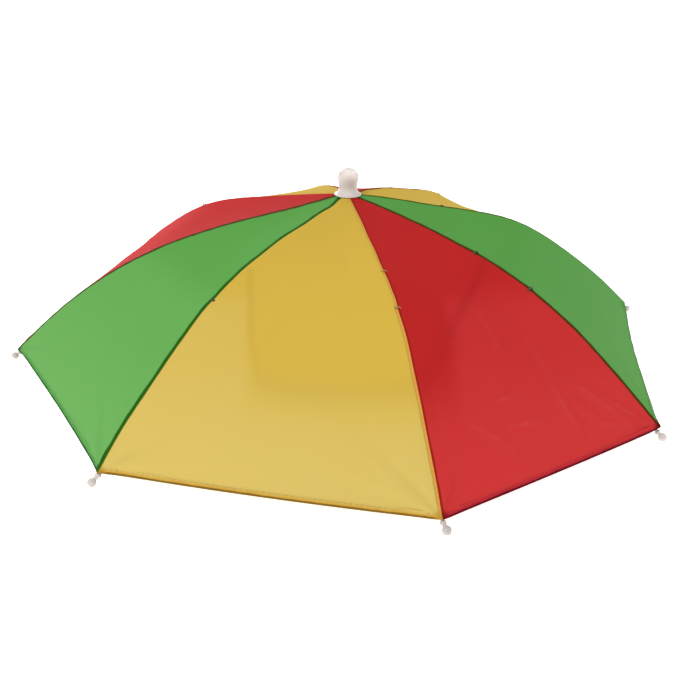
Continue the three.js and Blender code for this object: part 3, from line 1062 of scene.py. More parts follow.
def sewing_nodes(name, ring):
    """A node group that puts one thread at each point: a ring round a rib, or a bow along the cloth."""
    tree = bpy.data.node_groups.new(name, "GeometryNodeTree")
    tree.interface.new_socket("Points", in_out="INPUT", socket_type="NodeSocketGeometry")
    for size in ("Length", "Rise", "Thread"):
        tree.interface.new_socket(size, in_out="INPUT", socket_type="NodeSocketFloat")
    tree.interface.new_socket("Material", in_out="INPUT", socket_type="NodeSocketMaterial")
    tree.interface.new_socket("Mesh", in_out="OUTPUT", socket_type="NodeSocketGeometry")
    given = tree.nodes.new("NodeGroupInput")
    result = tree.nodes.new("NodeGroupOutput")
    links = tree.links
    round_it = tree.nodes.new("GeometryNodeCurvePrimitiveCircle")
    round_it.inputs["Resolution"].default_value = THREAD_SIDES
    links.new(given.outputs["Thread"], round_it.inputs["Radius"])
    thread = tree.nodes.new("GeometryNodeCurveToMesh")
    thread.inputs["Fill Caps"].default_value = True
    links.new(thread_line(tree, given, ring), thread.inputs["Curve"])
    links.new(round_it.outputs["Curve"], thread.inputs["Profile Curve"])
    turn = tree.nodes.new("FunctionNodeAxesToRotation")
    turn.primary_axis = "Z"
    turn.secondary_axis = "X"
    for key, socket in (("face", "Primary Axis"), ("run", "Secondary Axis")):
        direction = tree.nodes.new("GeometryNodeInputNamedAttribute")
        direction.data_type = "FLOAT_VECTOR"
        direction.inputs["Name"].default_value = key
        links.new(direction.outputs["Attribute"], turn.inputs[socket])
    copies = tree.nodes.new("GeometryNodeInstanceOnPoints")
    links.new(given.outputs["Points"], copies.inputs["Points"])
    links.new(thread.outputs["Mesh"], copies.inputs["Instance"])
    links.new(turn.outputs["Rotation"], copies.inputs["Rotation"])
    real = tree.nodes.new("GeometryNodeRealizeInstances")
    links.new(copies.outputs["Instances"], real.inputs["Geometry"])
    finish = tree.nodes.new("GeometryNodeSetMaterial")
    links.new(real.outputs["Geometry"], finish.inputs["Geometry"])
    links.new(given.outputs["Material"], finish.inputs["Material"])
    links.new(finish.outputs["Geometry"], result.inputs["Mesh"])
    return tree


SEWN_BOW = sewing_nodes("sewn_bow", ring=False)
TIED_RING = sewing_nodes("tied_ring", ring=True)
print("node groups:", SEWN_BOW.name, TIED_RING.name)

# %% [markdown]
# The points of one thread go into a mesh that has no faces, with their two directions as named
# vectors. The node group turns that mesh into thread, and the result is kept as a plain mesh.


# %% Sew with one thread
def sew(name, slot, nodes, places, faces, runs, length, rise, thread, material):
    """One piece of thread from points, the way each copy faces and the way it runs."""
    mesh = bpy.data.meshes.new(name)
    mesh.from_pydata(np.asarray(places).tolist(), [], [])
    for key, vectors in (("face", faces), ("run", runs)):
        layer = mesh.attributes.new(key, "FLOAT_VECTOR", "POINT")
        layer.data.foreach_set("vector", np.asarray(vectors, np.float32).ravel())
    piece = bpy.data.objects.new(name, mesh)
    bpy.context.scene.collection.objects.link(piece)
    sewing = piece.modifiers.new("Sewing", "NODES")
    sewing.node_group = nodes
    values = {"Length": length, "Rise": rise, "Thread": thread, "Material": material}
    for item in nodes.interface.items_tree:
        if item.in_out == "INPUT" and item.name in values:
            sewing[item.identifier] = values[item.name]
    piece.update_tag()
    shown = piece.evaluated_get(bpy.context.evaluated_depsgraph_get())
    sewn = bpy.data.meshes.new_from_object(shown)
    piece.modifiers.clear()
    piece.data = sewn
    sewn.name = name
    sewn.shade_smooth()
    if not sewn.materials:
        sewn.materials.append(material)
    print(name, "is", len(places), "times the same thread")
    finish_piece(piece, slot)


def thread_material(name, colour, shade):
    material, tree, shader = new_material(name)
    share = ramp_down(tree, object_noise(tree, 700, 3), 0.35, 0.65)
    tree.links.new(mix_colours(tree, share, paint(colour), paint(shade)), shader.inputs["Base Color"])
    shader.inputs["Roughness"].default_value = 0.75
    add_bump(tree, shader, object_noise(tree, 3000, 1), 0.3, 0.03 * MM)
    return material


# %% Sew the hems and the seams
HEM_STITCH = 3.2 * MM
HEM_ROW = 2.4 * MM               # from the hem's edge
SEAM_STITCH = 4.0 * MM
SEAM_ROW = 1.6 * MM              # from the seam, under the cloth
STITCH_LENGTH = 2.5 * MM
STITCH_RISE = 0.10 * MM
STITCH_LIFT = 0.22 * MM
THREAD = 0.13 * MM
# For each cloth: its thread's colour and that colour's darker shade
THREADS = [
    ("yellow", YELLOW, "#b8963c", "#9c7a28"),
    ("red", RED, "#a81c24", "#8a121a"),
    ("green", GREEN, "#43883a", "#316c2a"),
]


def stitch_rows(i):
    """Places, facing and running directions of the stitches of gore i."""
    places, faces, runs = [], [], []
    hem_share = np.interp(RIB_LENGTH - HEM_ROW, ARC_LENGTHS, ARC_SHARES)
    count = int(GORE_WIDTH / HEM_STITCH)
    t = np.linspace(0.02, 0.98, count)[None, :]
    u = np.array([[hem_share - 0.002], [hem_share], [hem_share + 0.002]])
    points, normals = cloth_grid(i, np.broadcast_to(u, (3, count)), np.broadcast_to(t, (3, count)))[:2]
    places.append(points[1] + normals[1] * STITCH_LIFT)
    faces.append(normals[1])
    runs.append(line_runs(points[1]))
    # Under the seam, through the turned-in edge
    count = int(RIB_LENGTH / SEAM_STITCH)
    u = np.interp(np.linspace(0.06, 0.97, count) * RIB_LENGTH, ARC_LENGTHS, ARC_SHARES)[:, None]
    off = SEAM_ROW / (GORE_WIDTH * u)
    t = 1 - off * np.array([1.5, 1.0, 0.5])
    points, normals = cloth_grid(i, np.broadcast_to(u, t.shape), t)[:2]
    drop = 2 * CLOTH_THICKNESS + 0.26 * MM
    places.append(points[:, 1] - normals[:, 1] * drop)
    faces.append(-normals[:, 1])
    runs.append(line_runs(points[:, 1]))
    return [np.concatenate(rows) for rows in (places, faces, runs)]


for colour_name, cloth, light_thread, dark_thread in THREADS:
    rows = [stitch_rows(i) for i in range(RIB_COUNT) if GORES[i][0] is cloth]
    places, faces, runs = (np.concatenate(part) for part in zip(*rows))
    thread_finish = thread_material(f"{colour_name}_thread", light_thread, dark_thread)
    sew(
        f"{colour_name}_stitches", f"{colour_name}_cloth", SEWN_BOW,
        places, faces, runs, STITCH_LENGTH, STITCH_RISE, THREAD, thread_finish,
    )

# %% [markdown]
# Where the cloth is tied to its rib, three turns of thread lie side by side as small rings. On
# two ribs in front the thread differs, golden on one and thick on the other, so these get pieces of
# their own.

# %% Tie the cloth to the ribs
# Each tie: its rib, and its place as a share of the radius
TIES = [
    (0, 0.30),
    (1, 0.58),
    (2, 0.58),
    (3, 0.58),
    (4, 0.58),
    (5, 0.60),
    (6, 0.45),
    (6, 0.585),
    (7, 0.44),
    (7, 0.61),
]
PLAIN_RIBS = (0, 1, 2, 3, 4, 5)
TIE_DEPTH = 1.95 * MM            # of a ring's middle under the rib's line
TIE_WIDTH = 4.6 * MM
TIE_THREAD = 0.26 * MM
THICK_TIE_WIDTH = 5.6 * MM
THICK_TIE_THREAD = 0.45 * MM


def tie_rings(ribs):
    """Places, facing and running directions of the rings on some of the ribs."""
    places, faces, runs = [], [], []
    for rib, share in [tie for tie in TIES if tie[0] in ribs]:
        out, side, up = spoke_frame(rib)
        slope = line_slope(share)
        steep = math.hypot(1, slope)
        along = (out - slope * up) / steep
        above = np.cross(along, side)
        across = CANOPY_RADIUS * share - TIE_DEPTH * slope / steep
        height = CORNER_Z + line_height(share) + rib_lift(rib, share) - TIE_DEPTH / steep
        middle = across * out + height * up + side * seam_bend(rib, share) * 0.5
        for step in (-0.5, 0.0, 0.5):
            places.append(middle + along * step * MM)
            faces.append(along)
            runs.append(above)
    return places, faces, runs


tie_thread = thread_material("tie_thread", "#40401a", "#2a2a10")
gold_thread = thread_material("gold_thread", "#a8742c", "#7c5420")
for name, ribs, width, thread, finish in (
    ("rib_ties", PLAIN_RIBS, TIE_WIDTH, TIE_THREAD, tie_thread),
    ("side_rib_tie", (7,), THICK_TIE_WIDTH, THICK_TIE_THREAD, tie_thread),
    ("front_rib_ties", (6,), TIE_WIDTH, TIE_THREAD, gold_thread),
):
    sew(name, "strap_tape", TIED_RING, *tie_rings(ribs), width, 0.0, thread, finish)

# %% [markdown]
# ## Plastics and steel
# The cap is moulded in a milky plastic that light enters, and the ball tips and hubs in plainer ones.
# A flat colour would look like paint. Some subsurface scattering softens their shadows, and a clear
# share lets light pass through the cap. The wires are drawn steel with faint dull patches.


# %% Moulded plastic
def moulded_material(name, colour, shade, roughness, depth, clear=0.0):
    material, tree, shader = new_material(name)
    cloud = ramp_down(tree, object_noise(tree, 90, 3), 0.35, 0.7)
    tree.links.new(mix_colours(tree, cloud, paint(colour), paint(shade)), shader.inputs["Base Color"])
    rough = tree.nodes.new("ShaderNodeMapRange")
    rough.inputs["To Min"].default_value = roughness - 0.06
    rough.inputs["To Max"].default_value = roughness + 0.10
    tree.links.new(object_noise(tree, 300, 2), rough.inputs["Value"])
    tree.links.new(rough.outputs["Result"], shader.inputs["Roughness"])
    shader.inputs["Subsurface Weight"].default_value = 0.35
    shader.inputs["Subsurface Radius"].default_value = (1.0, 0.8, 0.7)
    shader.inputs["Subsurface Scale"].default_value = depth
    shader.inputs["Transmission Weight"].default_value = clear
    add_bump(tree, shader, object_noise(tree, 900, 2), 0.05, 0.05 * MM)
    return material


# %% Drawn wire, and the four hard finishes
def wire_material(name):
    material, tree, shader = new_material(name)
    patches = ramp_down(tree, object_noise(tree, 160, 3), 0.3, 0.75)
    bright, dull = paint("#c6c8ca"), paint("#a9acaf")
    tree.links.new(mix_colours(tree, patches, bright, dull), shader.inputs["Base Color"])
    shader.inputs["Metallic"].default_value = 1.0
    shader.inputs["Roughness"].default_value = 0.32
    add_bump(tree, shader, object_noise(tree, 1400, 2), 0.08, 0.03 * MM)
    return material


milky_plastic = moulded_material("milky_plastic", "#f4ece8", "#e8dfdb", 0.30, 3 * MM, 0.55)
tip_plastic = moulded_material("tip_plastic", "#b9b1ac", "#a49b95", 0.34, 1.5 * MM)
hub_plastic = moulded_material("hub_plastic", "#dedbd4", "#cdc9c0", 0.42, 1.5 * MM)
rib_steel = wire_material("rib_steel")
for finish in (milky_plastic, tip_plastic, hub_plastic, rib_steel):
    print(finish.name, "has", len(finish.node_tree.nodes), "nodes")

# %% [markdown]
# ## Cap
# The cap on the crown has a flange, a waist and a round bulb, over a bore for the shaft. It is round
# everywhere, so it is turned from one outline. A few points and two arcs give the outline, and a
# smooth curve through the points rounds the waist, as subdivision would, but with the bulb's radius
# exactly as measured.


# %% Outlines
def arc_points(centre, radius, start, end, count):
    """Points of an arc, with angles in degrees."""
    angles = np.radians(np.linspace(start, end, count))
    return [(centre[0] + radius * math.cos(a), centre[1] + radius * math.sin(a)) for a in angles]


def smooth_outline(points, count):
    """A smooth curve through a few outline points."""
    points = np.asarray(points, float)
    padded = np.vstack([2 * points[0] - points[1], points, 2 * points[-1] - points[-2]])
    result = []
    for k in range(len(points) - 1):
        a, b, c, d = padded[k : k + 4]
        for s in np.linspace(0, 1, count, endpoint=False):
            result.append(tuple(
                0.5 * (2 * b + (c - a) * s + (2 * a - 5 * b + 4 * c - d) * s**2
                       + (3 * b - a - 3 * c + d) * s**3)
            ))
    result.append(tuple(points[-1]))
    return result


# %% Cap
ferrule_low, ferrule_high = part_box("ferrule")
FLANGE_RADIUS = (ferrule_high.x - ferrule_low.x) / 2
FERRULE_BORE = 3.8 * MM
FLANGE_SEAT = CROWN_Z - 0.34 * MM
BULB_RADIUS = 7.9 * MM
BULB_Z = CROWN_Z + 12 * MM
BORE_TOP = CROWN_Z + 14 * MM
FLANGE_EDGE = 0.6 * MM           # radius of its rounded edge


def build_cap():
    outline = [(0, BORE_TOP), (FERRULE_BORE, BORE_TOP), (FERRULE_BORE, FLANGE_SEAT)]
    outline += [(FLANGE_RADIUS - FLANGE_EDGE, CROWN_Z - 0.5 * MM - FLANGE_EDGE)]
    edge = (FLANGE_RADIUS - FLANGE_EDGE, CROWN_Z - 0.5 * MM)
    outline += arc_points(edge, FLANGE_EDGE, -90, 80, 7)[1:]
    profile = [
        (FLANGE_RADIUS - 1.4 * MM, CROWN_Z + 0.3 * MM),
        (7.7 * MM, CROWN_Z + 1.5 * MM),
        (6.9 * MM, CROWN_Z + 3.8 * MM),
        (7.0 * MM, CROWN_Z + 6.4 * MM),
        (7.5 * MM, CROWN_Z + 9.2 * MM),
        (BULB_RADIUS, BULB_Z),
    ]
    outline += smooth_outline(profile, 5)[:-1]
    bulb_top = ferrule_high.z - BULB_Z
    for x, z in arc_points((0, BULB_Z), BULB_RADIUS, 0, 90, 12):
        outline.append((x, BULB_Z + (z - BULB_Z) * bulb_top / BULB_RADIUS))
    outline[-1] = (0, outline[-1][1])
    piece = make_object("cap", [turned_body(outline, 48)], milky_plastic)
    finish_piece(piece, "ferrule_plastic", "ferrule")


build_cap()

# %% [markdown]
# ## Tips
# A tip is a small ball on a stem that is pushed onto the rib's end, and the cloth's corner is sewn to
# it. All eight come from one mould, so the outline is turned once and the body laid along each rib's
# end. Copies that share one mesh would all sit alike. Here each mesh is placed by itself, because a
# few tips have turned sideways on the wire, and one was pushed on less far.

# %% Tips
TIP_TURN = math.radians(12.5)
TIP_LENGTH = 6.2 * MM
BALL_RADIUS = 2.7 * MM
STEM_RADIUS = 1.1 * MM
# By rib: how far its tip has turned sideways, in degrees anticlockwise seen from above
TIP_LEANS = {6: 17, 5: -5, 1: 6, 3: -7}
# By rib: how much more of its tip's stem shows
TIP_STEMS = {5: 2.0 * MM}


def rib_point(i, u, depth):
    """A point at a depth under the cloth on the line of rib i, as (outward, height)."""
    slope = line_slope(u)
    steep = np.hypot(1, slope)
    height = CORNER_Z + line_height(u) + rib_lift(i, u)
    return CANOPY_RADIUS * u - depth * slope / steep, height - depth / steep


def tip_body():
    """One tip standing on its ball: the ball, its neck, the collar and the stem."""
    outline = arc_points((0, 0), BALL_RADIUS, -90, 62, 13)
    outline[0] = (0, -BALL_RADIUS)
    outline += smooth_outline([
        (1.20 * MM, 2.75 * MM),
        (1.35 * MM, 3.30 * MM),
        (1.80 * MM, 4.10 * MM),
        (1.95 * MM, 4.60 * MM),
        (1.70 * MM, 5.00 * MM),
    ], 3)
    stem_end = TIP_LENGTH - 0.3 * MM
    outline += [(STEM_RADIUS, 5.2 * MM), (STEM_RADIUS, stem_end), (0, stem_end)]
    return turned_body(outline, 20)


def build_tips():
    points, faces, marks = tip_body()
    fall = math.atan(line_slope(1)) - TIP_TURN
    way = (math.cos(fall), -math.sin(fall))
    end = rib_point(0, 1, RIB_DEPTH)
    for i in range(RIB_COUNT):
        out, side, up = spoke_frame(i)
        lean = math.radians(TIP_LEANS.get(i, 0))
        level = way[0] * (math.cos(lean) * out + math.sin(lean) * side)
        stem = -(level + way[1] * up)
        across = np.cross(side, stem)
        across /= np.linalg.norm(across)
        beside = np.cross(stem, across)
        placed = points[:, :1] * across + points[:, 1:2] * beside + points[:, 2:] * stem
        placed = placed + end[0] * out + end[1] * up - stem * TIP_LENGTH
        # A longer stem moves its ball out level, so that the ball stays on the ground
        to_ball = np.clip((TIP_LENGTH - points[:, 2:]) / (TIP_LENGTH - BALL_RADIUS), 0, 1)
        placed = placed + level * TIP_STEMS.get(i, 0.0) * to_ball
        piece = make_object(f"ball_tip_{i + 1}", [(placed, faces, marks)], tip_plastic)
        finish_piece(piece, "tip_plastic", f"rib_tip_{i + 1}")


build_tips()

# %% [markdown]
# ## Ribs and stretchers
# A rib is one bent steel wire, and a stretcher is a straight one that holds it open from the runner.
# A curve object with a bevel would draw such wires too. The helper that carries a section along a
# line does it here, so that the wires follow the same line as the cloth above them. Each stretcher
# holds its rib in a small folded clip, closed by a pin through its two cheeks.

# %% Ribs
RIB_START = 6.5 * MM             # from the axis, inside the top notch
WIRE_SIDES = 12


def rib_stretch(i, u):
    """The line of rib i's wire at shares u, with its sideways and its upward directions."""
    out, side, up = spoke_frame(i)
    across, height = rib_point(i, u, RIB_DEPTH)
    line = across[:, None] * out + height[:, None] * up
    sides = np.broadcast_to(side, line.shape)
    above = np.cross(line_runs(line), sides)
    return line, sides, above


def build_rib(i):
    line, sides, above = rib_stretch(i, np.linspace(RIB_START / CANOPY_RADIUS, 1, 72))
    wire = swept_body(line, sides, above, round_section(RIB_WIRE, WIRE_SIDES))
    piece = make_object(f"wire_rib_{i + 1}", [wire], rib_steel)
    finish_piece(piece, "rib_wire", f"rib_{i + 1}")


print("a rib's wire is", 2 * RIB_WIRE, "m thick")

# %% Stretchers
STRETCHER_WIRE = 1.1 * MM
STRETCHER_REACH = 70 * MM
STRETCHER_START = 8.2 * MM       # from the axis, inside the runner
RUNNER_MIDDLE = box_middle("runner").z
CLIP_HALF = 4 * MM
CLIP_GAP = 0.04 * MM
CLIP_WALL = 0.30 * MM
PIN_HALF = 2.1 * MM
PIN_RADIUS = 0.7 * MM


def straight_wire(start, end, radius, corners):
    line = np.linspace(start, end, 8)
    run = (end - start) / np.linalg.norm(end - start)
    side = np.cross(run, (0.0, 0.0, 1.0))
    side /= np.linalg.norm(side)
    sides = np.broadcast_to(side, line.shape)
    above = np.broadcast_to(np.cross(side, run), line.shape)
    return swept_body(line, sides, above, round_section(radius, corners))


def folded_clip(i, share):
    """A small plate folded over rib i, with its two cheeks hanging down beside the stretcher."""
    half = CLIP_HALF / CANOPY_RADIUS
    line, sides, above = rib_stretch(i, np.linspace(share - half, share + half, 9))
    above *= np.sign(above[:, 2:])
    inner, outer = RIB_WIRE + CLIP_GAP, RIB_WIRE + CLIP_GAP + CLIP_WALL
    drop = RIB_WIRE + 0.3 * MM + 2 * STRETCHER_WIRE
    bend = np.linspace(0, math.pi, 9)
    section = [(outer, -drop)]
    section += [(outer * math.cos(a), outer * math.sin(a)) for a in bend]
    section += [(-outer, -drop), (-inner, -drop)]
    section += [(inner * math.cos(a), inner * math.sin(a)) for a in bend[::-1]]
    section += [(inner, -drop)]
    return swept_body(line, sides, above, section)


def build_stretcher(i):
    out, side, up = spoke_frame(i)
    share = STRETCHER_REACH / CANOPY_RADIUS
    depth = RIB_DEPTH + RIB_WIRE + 0.3 * MM + STRETCHER_WIRE
    end_across, end_height = rib_point(i, share, depth)
    end = end_across * out + end_height * up
    start = STRETCHER_START * out + RUNNER_MIDDLE * up
    wire = straight_wire(start, end, STRETCHER_WIRE, WIRE_SIDES)
    pin_middle = end + 0.1 * MM * up
    pin = straight_wire(pin_middle - side * PIN_HALF, pin_middle + side * PIN_HALF, PIN_RADIUS, 10)
    piece = make_object(f"wire_stretcher_{i + 1}", [wire, folded_clip(i, share), pin], rib_steel)
    finish_piece(piece, "rib_wire", f"stretcher_{i + 1}")


for number in range(RIB_COUNT):
    build_rib(number)
    build_stretcher(number)

# %% [markdown]
# ## Hubs and shaft
# The top notch and the runner are round plastic hubs with a slot for each wire, and a thin ring of
# wire ties the wires' eyes in. Slots could be cut with a Boolean modifier, which often leaves stray
# faces on round parts. Here the outline with its slots is drawn flat and carried up, so that every
# face is clean.

# %% Outline of a hub
SHAFT_BORE = 3.75 * MM
SLOT_WIDTH = 2.9 * MM
SLOT_DEPTH = 3.4 * MM


def slotted_outline(radius):
    """The outer outline of a hub, with a slot at each rib."""
    points = []
    half_width = SLOT_WIDTH / 2
    half_slot = math.asin(half_width / radius)
    for i in range(RIB_COUNT):
        out, side, _ = spoke_frame(i)
        angle, following = RIB_ANGLES[i], RIB_ANGLES[i + 1]
        inner = radius - SLOT_DEPTH
        for edge in (-1, 1):
            floor = out * inner + side * edge * half_width
            mouth = out * math.sqrt(radius**2 - half_width**2) + side * edge * half_width
            points += [mouth[:2], floor[:2]] if edge < 0 else [floor[:2], mouth[:2]]
        for a in np.linspace(angle + half_slot, following - half_slot, 6)[1:-1]:
            points.append(np.array([radius * math.cos(a), radius * math.sin(a)]))
    return np.array(points)


print("points round a hub:", len(slotted_outline(9 * MM)))

# %% Hubs
HUB_LIP = 0.5 * MM               # its bevelled edge


def hub_body(radius, bottom, top, lip):
    """A hub between two heights, with its slots and a bevelled top and bottom edge."""
    outline = slotted_outline(radius)
    angles = np.arctan2(outline[:, 1], outline[:, 0])
    bore = np.stack([SHAFT_BORE * np.cos(angles), SHAFT_BORE * np.sin(angles)], -1)
    shrink = 1 - lip / radius
    levels = [(bore, bottom), (outline * shrink, bottom), (outline, bottom + lip)]
    levels += [(outline, top - lip), (outline * shrink, top), (bore, top)]
    rings = [np.column_stack([ring, np.full(len(ring), height)]) for ring, height in levels]
    points = np.concatenate(rings)
    count = len(outline)
    index = np.arange(len(points)).reshape(len(rings), count)
    loop = np.vstack([index, index[:1]])
    ahead = np.roll(loop, -1, axis=1)
    faces = np.stack([loop[:-1], ahead[:-1], ahead[1:], loop[1:]], -1).reshape(-1, 4).tolist()
    return points, faces, points[:, :2]


def build_hub(node):
    low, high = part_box(node)
    radius = (high.x - low.x) / 2
    body = hub_body(radius, low.z, high.z, HUB_LIP)
    piece = make_object(f"slotted_{node}", [body], hub_plastic, crease=30)
    finish_piece(piece, "hub_plastic", node)


build_hub("top_notch")
build_hub("runner")

# %% Tie wires and shaft
TIE_RING_RADIUS = 7.3 * MM
TIE_RING_DROP = 1.5 * MM
TIE_RING_WIRE = 0.35 * MM
SHAFT_LIP = 0.5 * MM


def ring_wire(radius, height, thickness):
    section = round_section(thickness, 8)
    return turned_body([(radius + x, height + z) for x, z in section], 40)


def build_tie_wires():
    """One fine wire round each hub, through the eyes of the ribs or the stretchers."""
    rib_height = rib_point(0, 7 * MM / CANOPY_RADIUS, RIB_DEPTH)[1]
    rings = []
    for height in (rib_height, RUNNER_MIDDLE):
        rings.append(ring_wire(TIE_RING_RADIUS, height - TIE_RING_DROP, TIE_RING_WIRE))
    piece = make_object("hub_tie_wires", rings, rib_steel)
    finish_piece(piece, "rib_wire")


def build_shaft():
    low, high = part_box("shaft")
    radius = (high.x - low.x) / 2
    outline = [(0, low.z), (radius - SHAFT_LIP, low.z), (radius, low.z + SHAFT_LIP)]
    outline += [(radius, high.z - SHAFT_LIP), (radius - SHAFT_LIP, high.z), (0, high.z)]
    piece = make_object("post", [turned_body(outline, 32)], hub_plastic)
    finish_piece(piece, "hub_plastic", "shaft")


build_tie_wires()
build_shaft()

# %% [markdown]
# ## Headband
# The headband is woven elastic. Its face shows lengthwise cords, and it is closed by a lapped seam
# at the back. A plain ring with a striped bump would look right from the front, but its edges would
# stay smooth. So the cords are in the section that is carried round, and only the weave is bump.


# %% Woven finishes
def webbing_material(name, colour, shade, pitch):
    material, tree, shader = new_material(name)
    threads = weave_height(tree, pitch)
    # Painted shade: the weave's low places take the darker colour
    share = ramp_down(tree, threads, 0.3, 1.7)
    colours = mix_colours(tree, share, paint(colour), paint(shade))
    soil = math_node(tree, "MULTIPLY", object_noise(tree, 40, 4), 0.25)
    tree.links.new(mix_colours(tree, soil, colours, paint(shade)), shader.inputs["Base Color"])
    shader.inputs["Roughness"].default_value = 0.85
    shader.inputs["Sheen Weight"].default_value = 0.3
    shader.inputs["Sheen Roughness"].default_value = 0.5
    add_bump(tree, shader, threads, 0.35, 0.12 * MM)
    return material


band_cloth = webbing_material("band_elastic", "#e6e3dc", "#bdb8ad", 0.9 * MM)
strap_cloth = webbing_material("strap_tape", "#e4e1da", "#c2bdb2", 0.6 * MM)
print("woven finishes:", band_cloth.name, strap_cloth.name)

# %% Headband
band_low, band_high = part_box("headband")
BAND_OUTSIDE = band_high.x
BAND_WALL = 2 * MM
BAND_HEIGHT = band_high.z - band_low.z
BAND_RADIUS = BAND_OUTSIDE - BAND_WALL / 2
BAND_RIPPLE = 0.25 * MM
CORD_COUNT = 6
CORD_RISE = 0.35 * MM
CORD_BASE = 0.55 * MM            # of the face between two cords, from the band's middle
BAND_EDGE = 0.3 * MM
LAP_ANGLE = math.pi / 2
LAP_HALF = 9 * MM
LAP_OUTSIDE = 0.8 * MM
LAP_BEVEL = 0.4 * MM


def band_line(angles, radii):
    """A line round the headband's middle, with its outward and its upward directions."""
    out = np.stack([np.cos(angles), np.sin(angles), 0 * angles], -1)
    line = out * radii
    line[:, 2] = BAND_HEIGHT / 2
    return line, out, np.broadcast_to((0.0, 0.0, 1.0), line.shape)


def build_headband():
    """Elastic with six raised cords, and a lap where its ends are sewn on each other."""
    angles = np.linspace(0, 2 * math.pi, 240, endpoint=False)
    ripple = BAND_RIPPLE * np.sin(angles * 9) * np.sin(angles * 4 + 1)
    heights = np.linspace(-0.5, 0.5, 37)
    cord = np.abs(np.sin(heights * CORD_COUNT * math.pi)) ** 0.7
    face = CORD_BASE + CORD_RISE * cord
    face[[0, -1]] = BAND_EDGE
    half = BAND_HEIGHT / 2 - 0.1 * MM
    section = [(f, 2 * half * h) for f, h in zip(face, heights)]
    section += [(-f, 2 * half * h) for f, h in zip(face[::-1], heights[::-1])]
    loop = swept_body(*band_line(angles, (BAND_RADIUS + ripple)[:, None]), section, closed=True)
    # The lap is a second layer outside the first for a finger's width
    lap_angles = LAP_ANGLE + np.linspace(-LAP_HALF, LAP_HALF, 9) / BAND_RADIUS
    lap_section = [(BAND_EDGE, -half), (LAP_OUTSIDE, LAP_BEVEL - half)]
    lap_section += [(LAP_OUTSIDE, half - LAP_BEVEL), (BAND_EDGE, half)]
    lap = swept_body(*band_line(lap_angles, BAND_RADIUS), lap_section)
    piece = make_object("elastic_band", [loop, lap], band_cloth, crease=60)
    finish_piece(piece, "band_elastic", "headband")


build_headband()

# %% [markdown]
# ## Straps
# Four narrow tapes carry the headband. Each is sewn flat on the outside of the band, runs out and up
# in a slack bow, turns a quarter on its way, and ends in a loop round its rib. A cloth simulation
# would let them swing to a rest of their own. One smooth curve, with both ends where such a tape is
# sewn, keeps them in place.

# %% The line of a strap, and its loop
STRAP_WALL = 1 * MM
STRAP_WIDTH = 6 * MM
STRAP_REACH = 115 * MM
STRAP_BOW = 16 * MM
STRAP_LAP = 13 * MM
STRAP_DROP = 3.5 * MM            # of the tape's upper end under its rib
LOOP_TAIL = 8 * MM


def strap_line(i):
    """A strap's line as (outward, height) points: up the band, then out and up to its rib."""
    outside = BAND_OUTSIDE + 0.3 * MM + STRAP_WALL / 2
    share = STRAP_REACH / CANOPY_RADIUS
    rib = np.array(rib_point(i, share, RIB_DEPTH))
    hang = rib + np.array([0, -STRAP_DROP])
    third = (hang[1] - BAND_HEIGHT) / 3
    a = np.array([outside, BAND_HEIGHT])
    b = a + (0, third)
    c = hang + (STRAP_BOW, -third)
    s = np.linspace(0, 1, 40)[:, None]
    curve = a * (1 - s) ** 3 + 3 * b * s * (1 - s) ** 2 + 3 * c * s**2 * (1 - s) + hang * s**3
    lap = np.linspace((outside, BAND_HEIGHT - STRAP_LAP), (outside, BAND_HEIGHT), 12)[:-1]
    return np.vstack([lap, curve])


def strap_loop(i):
    """The end of a strap, folded round its rib with both layers sewn together below."""
    share = STRAP_REACH / CANOPY_RADIUS
    reach = STRAP_WIDTH / 2 / CANOPY_RADIUS
    line, sides, above = rib_stretch(i, np.linspace(share - reach, share + reach, 7))
    above *= np.sign(above[:, 2:])
    inner, outer = RIB_WIRE + 0.10 * MM, RIB_WIRE + 0.60 * MM
    tail_outside, tail_inside = 0.62 * MM, 0.03 * MM
    bend = np.radians(np.linspace(-50, 230, 15))
    section = [(tail_outside, -LOOP_TAIL)]
    section += [(outer * math.cos(a), outer * math.sin(a)) for a in bend]
    section += [(-tail_outside, -LOOP_TAIL), (-tail_inside, -LOOP_TAIL)]
    section += [(inner * math.cos(a), inner * math.sin(a)) for a in bend[::-1]]
    section += [(tail_inside, -LOOP_TAIL)]
    return swept_body(line, sides, above, section)


print("a strap meets its rib", STRAP_REACH, "m from the axis")

# %% Straps
TAPE_HALF_WALL = 0.36 * MM
TAPE_BEVEL = 0.3 * MM
# The quarter turn begins this far below the tape's upper end, and takes this much height
TURN_BELOW = 45 * MM
TURN_HEIGHT = 38 * MM


def build_strap(number, i):
    out, side, up = spoke_frame(i)
    places = strap_line(i)
    line = places[:, :1] * out + places[:, 1:] * up
    run = line_runs(line)
    # Flat on the band below, and turned a quarter at the top, where it is sewn into its own loop
    turn = soft_step((line[:, 2] - line[-1, 2] + TURN_BELOW) / TURN_HEIGHT)[:, None] * math.pi / 2
    flat_up = np.cross(run, np.broadcast_to(side, line.shape))
    sides = np.cos(turn) * side + np.sin(turn) * flat_up
    above = np.cross(run, sides)
    half = STRAP_WIDTH / 2
    face = half - TAPE_BEVEL
    section = [(half, 0), (face, TAPE_HALF_WALL), (-face, TAPE_HALF_WALL)]
    section += [(-half, 0), (-face, -TAPE_HALF_WALL), (face, -TAPE_HALF_WALL)]
    tape = swept_body(line, sides, above, section)
    length = np.linalg.norm(np.diff(line, axis=0), axis=1).sum()
    piece = make_object(f"tape_strap_{number}", [tape, strap_loop(i)], strap_cloth, crease=50)
    finish_piece(piece, "strap_tape", f"strap_{number}")
    print("strap", number, "is", round(length, 4), "m long")


STRAP_RIBS = (1, 3, 5, 7)
for number, rib in enumerate(STRAP_RIBS, 1):
    build_strap(number, rib)

# %% [markdown]
# White zigzags hold the band's lap and the straps' lower ends. They use the same node group as the
# stitches of the cloth, so only their points are new.

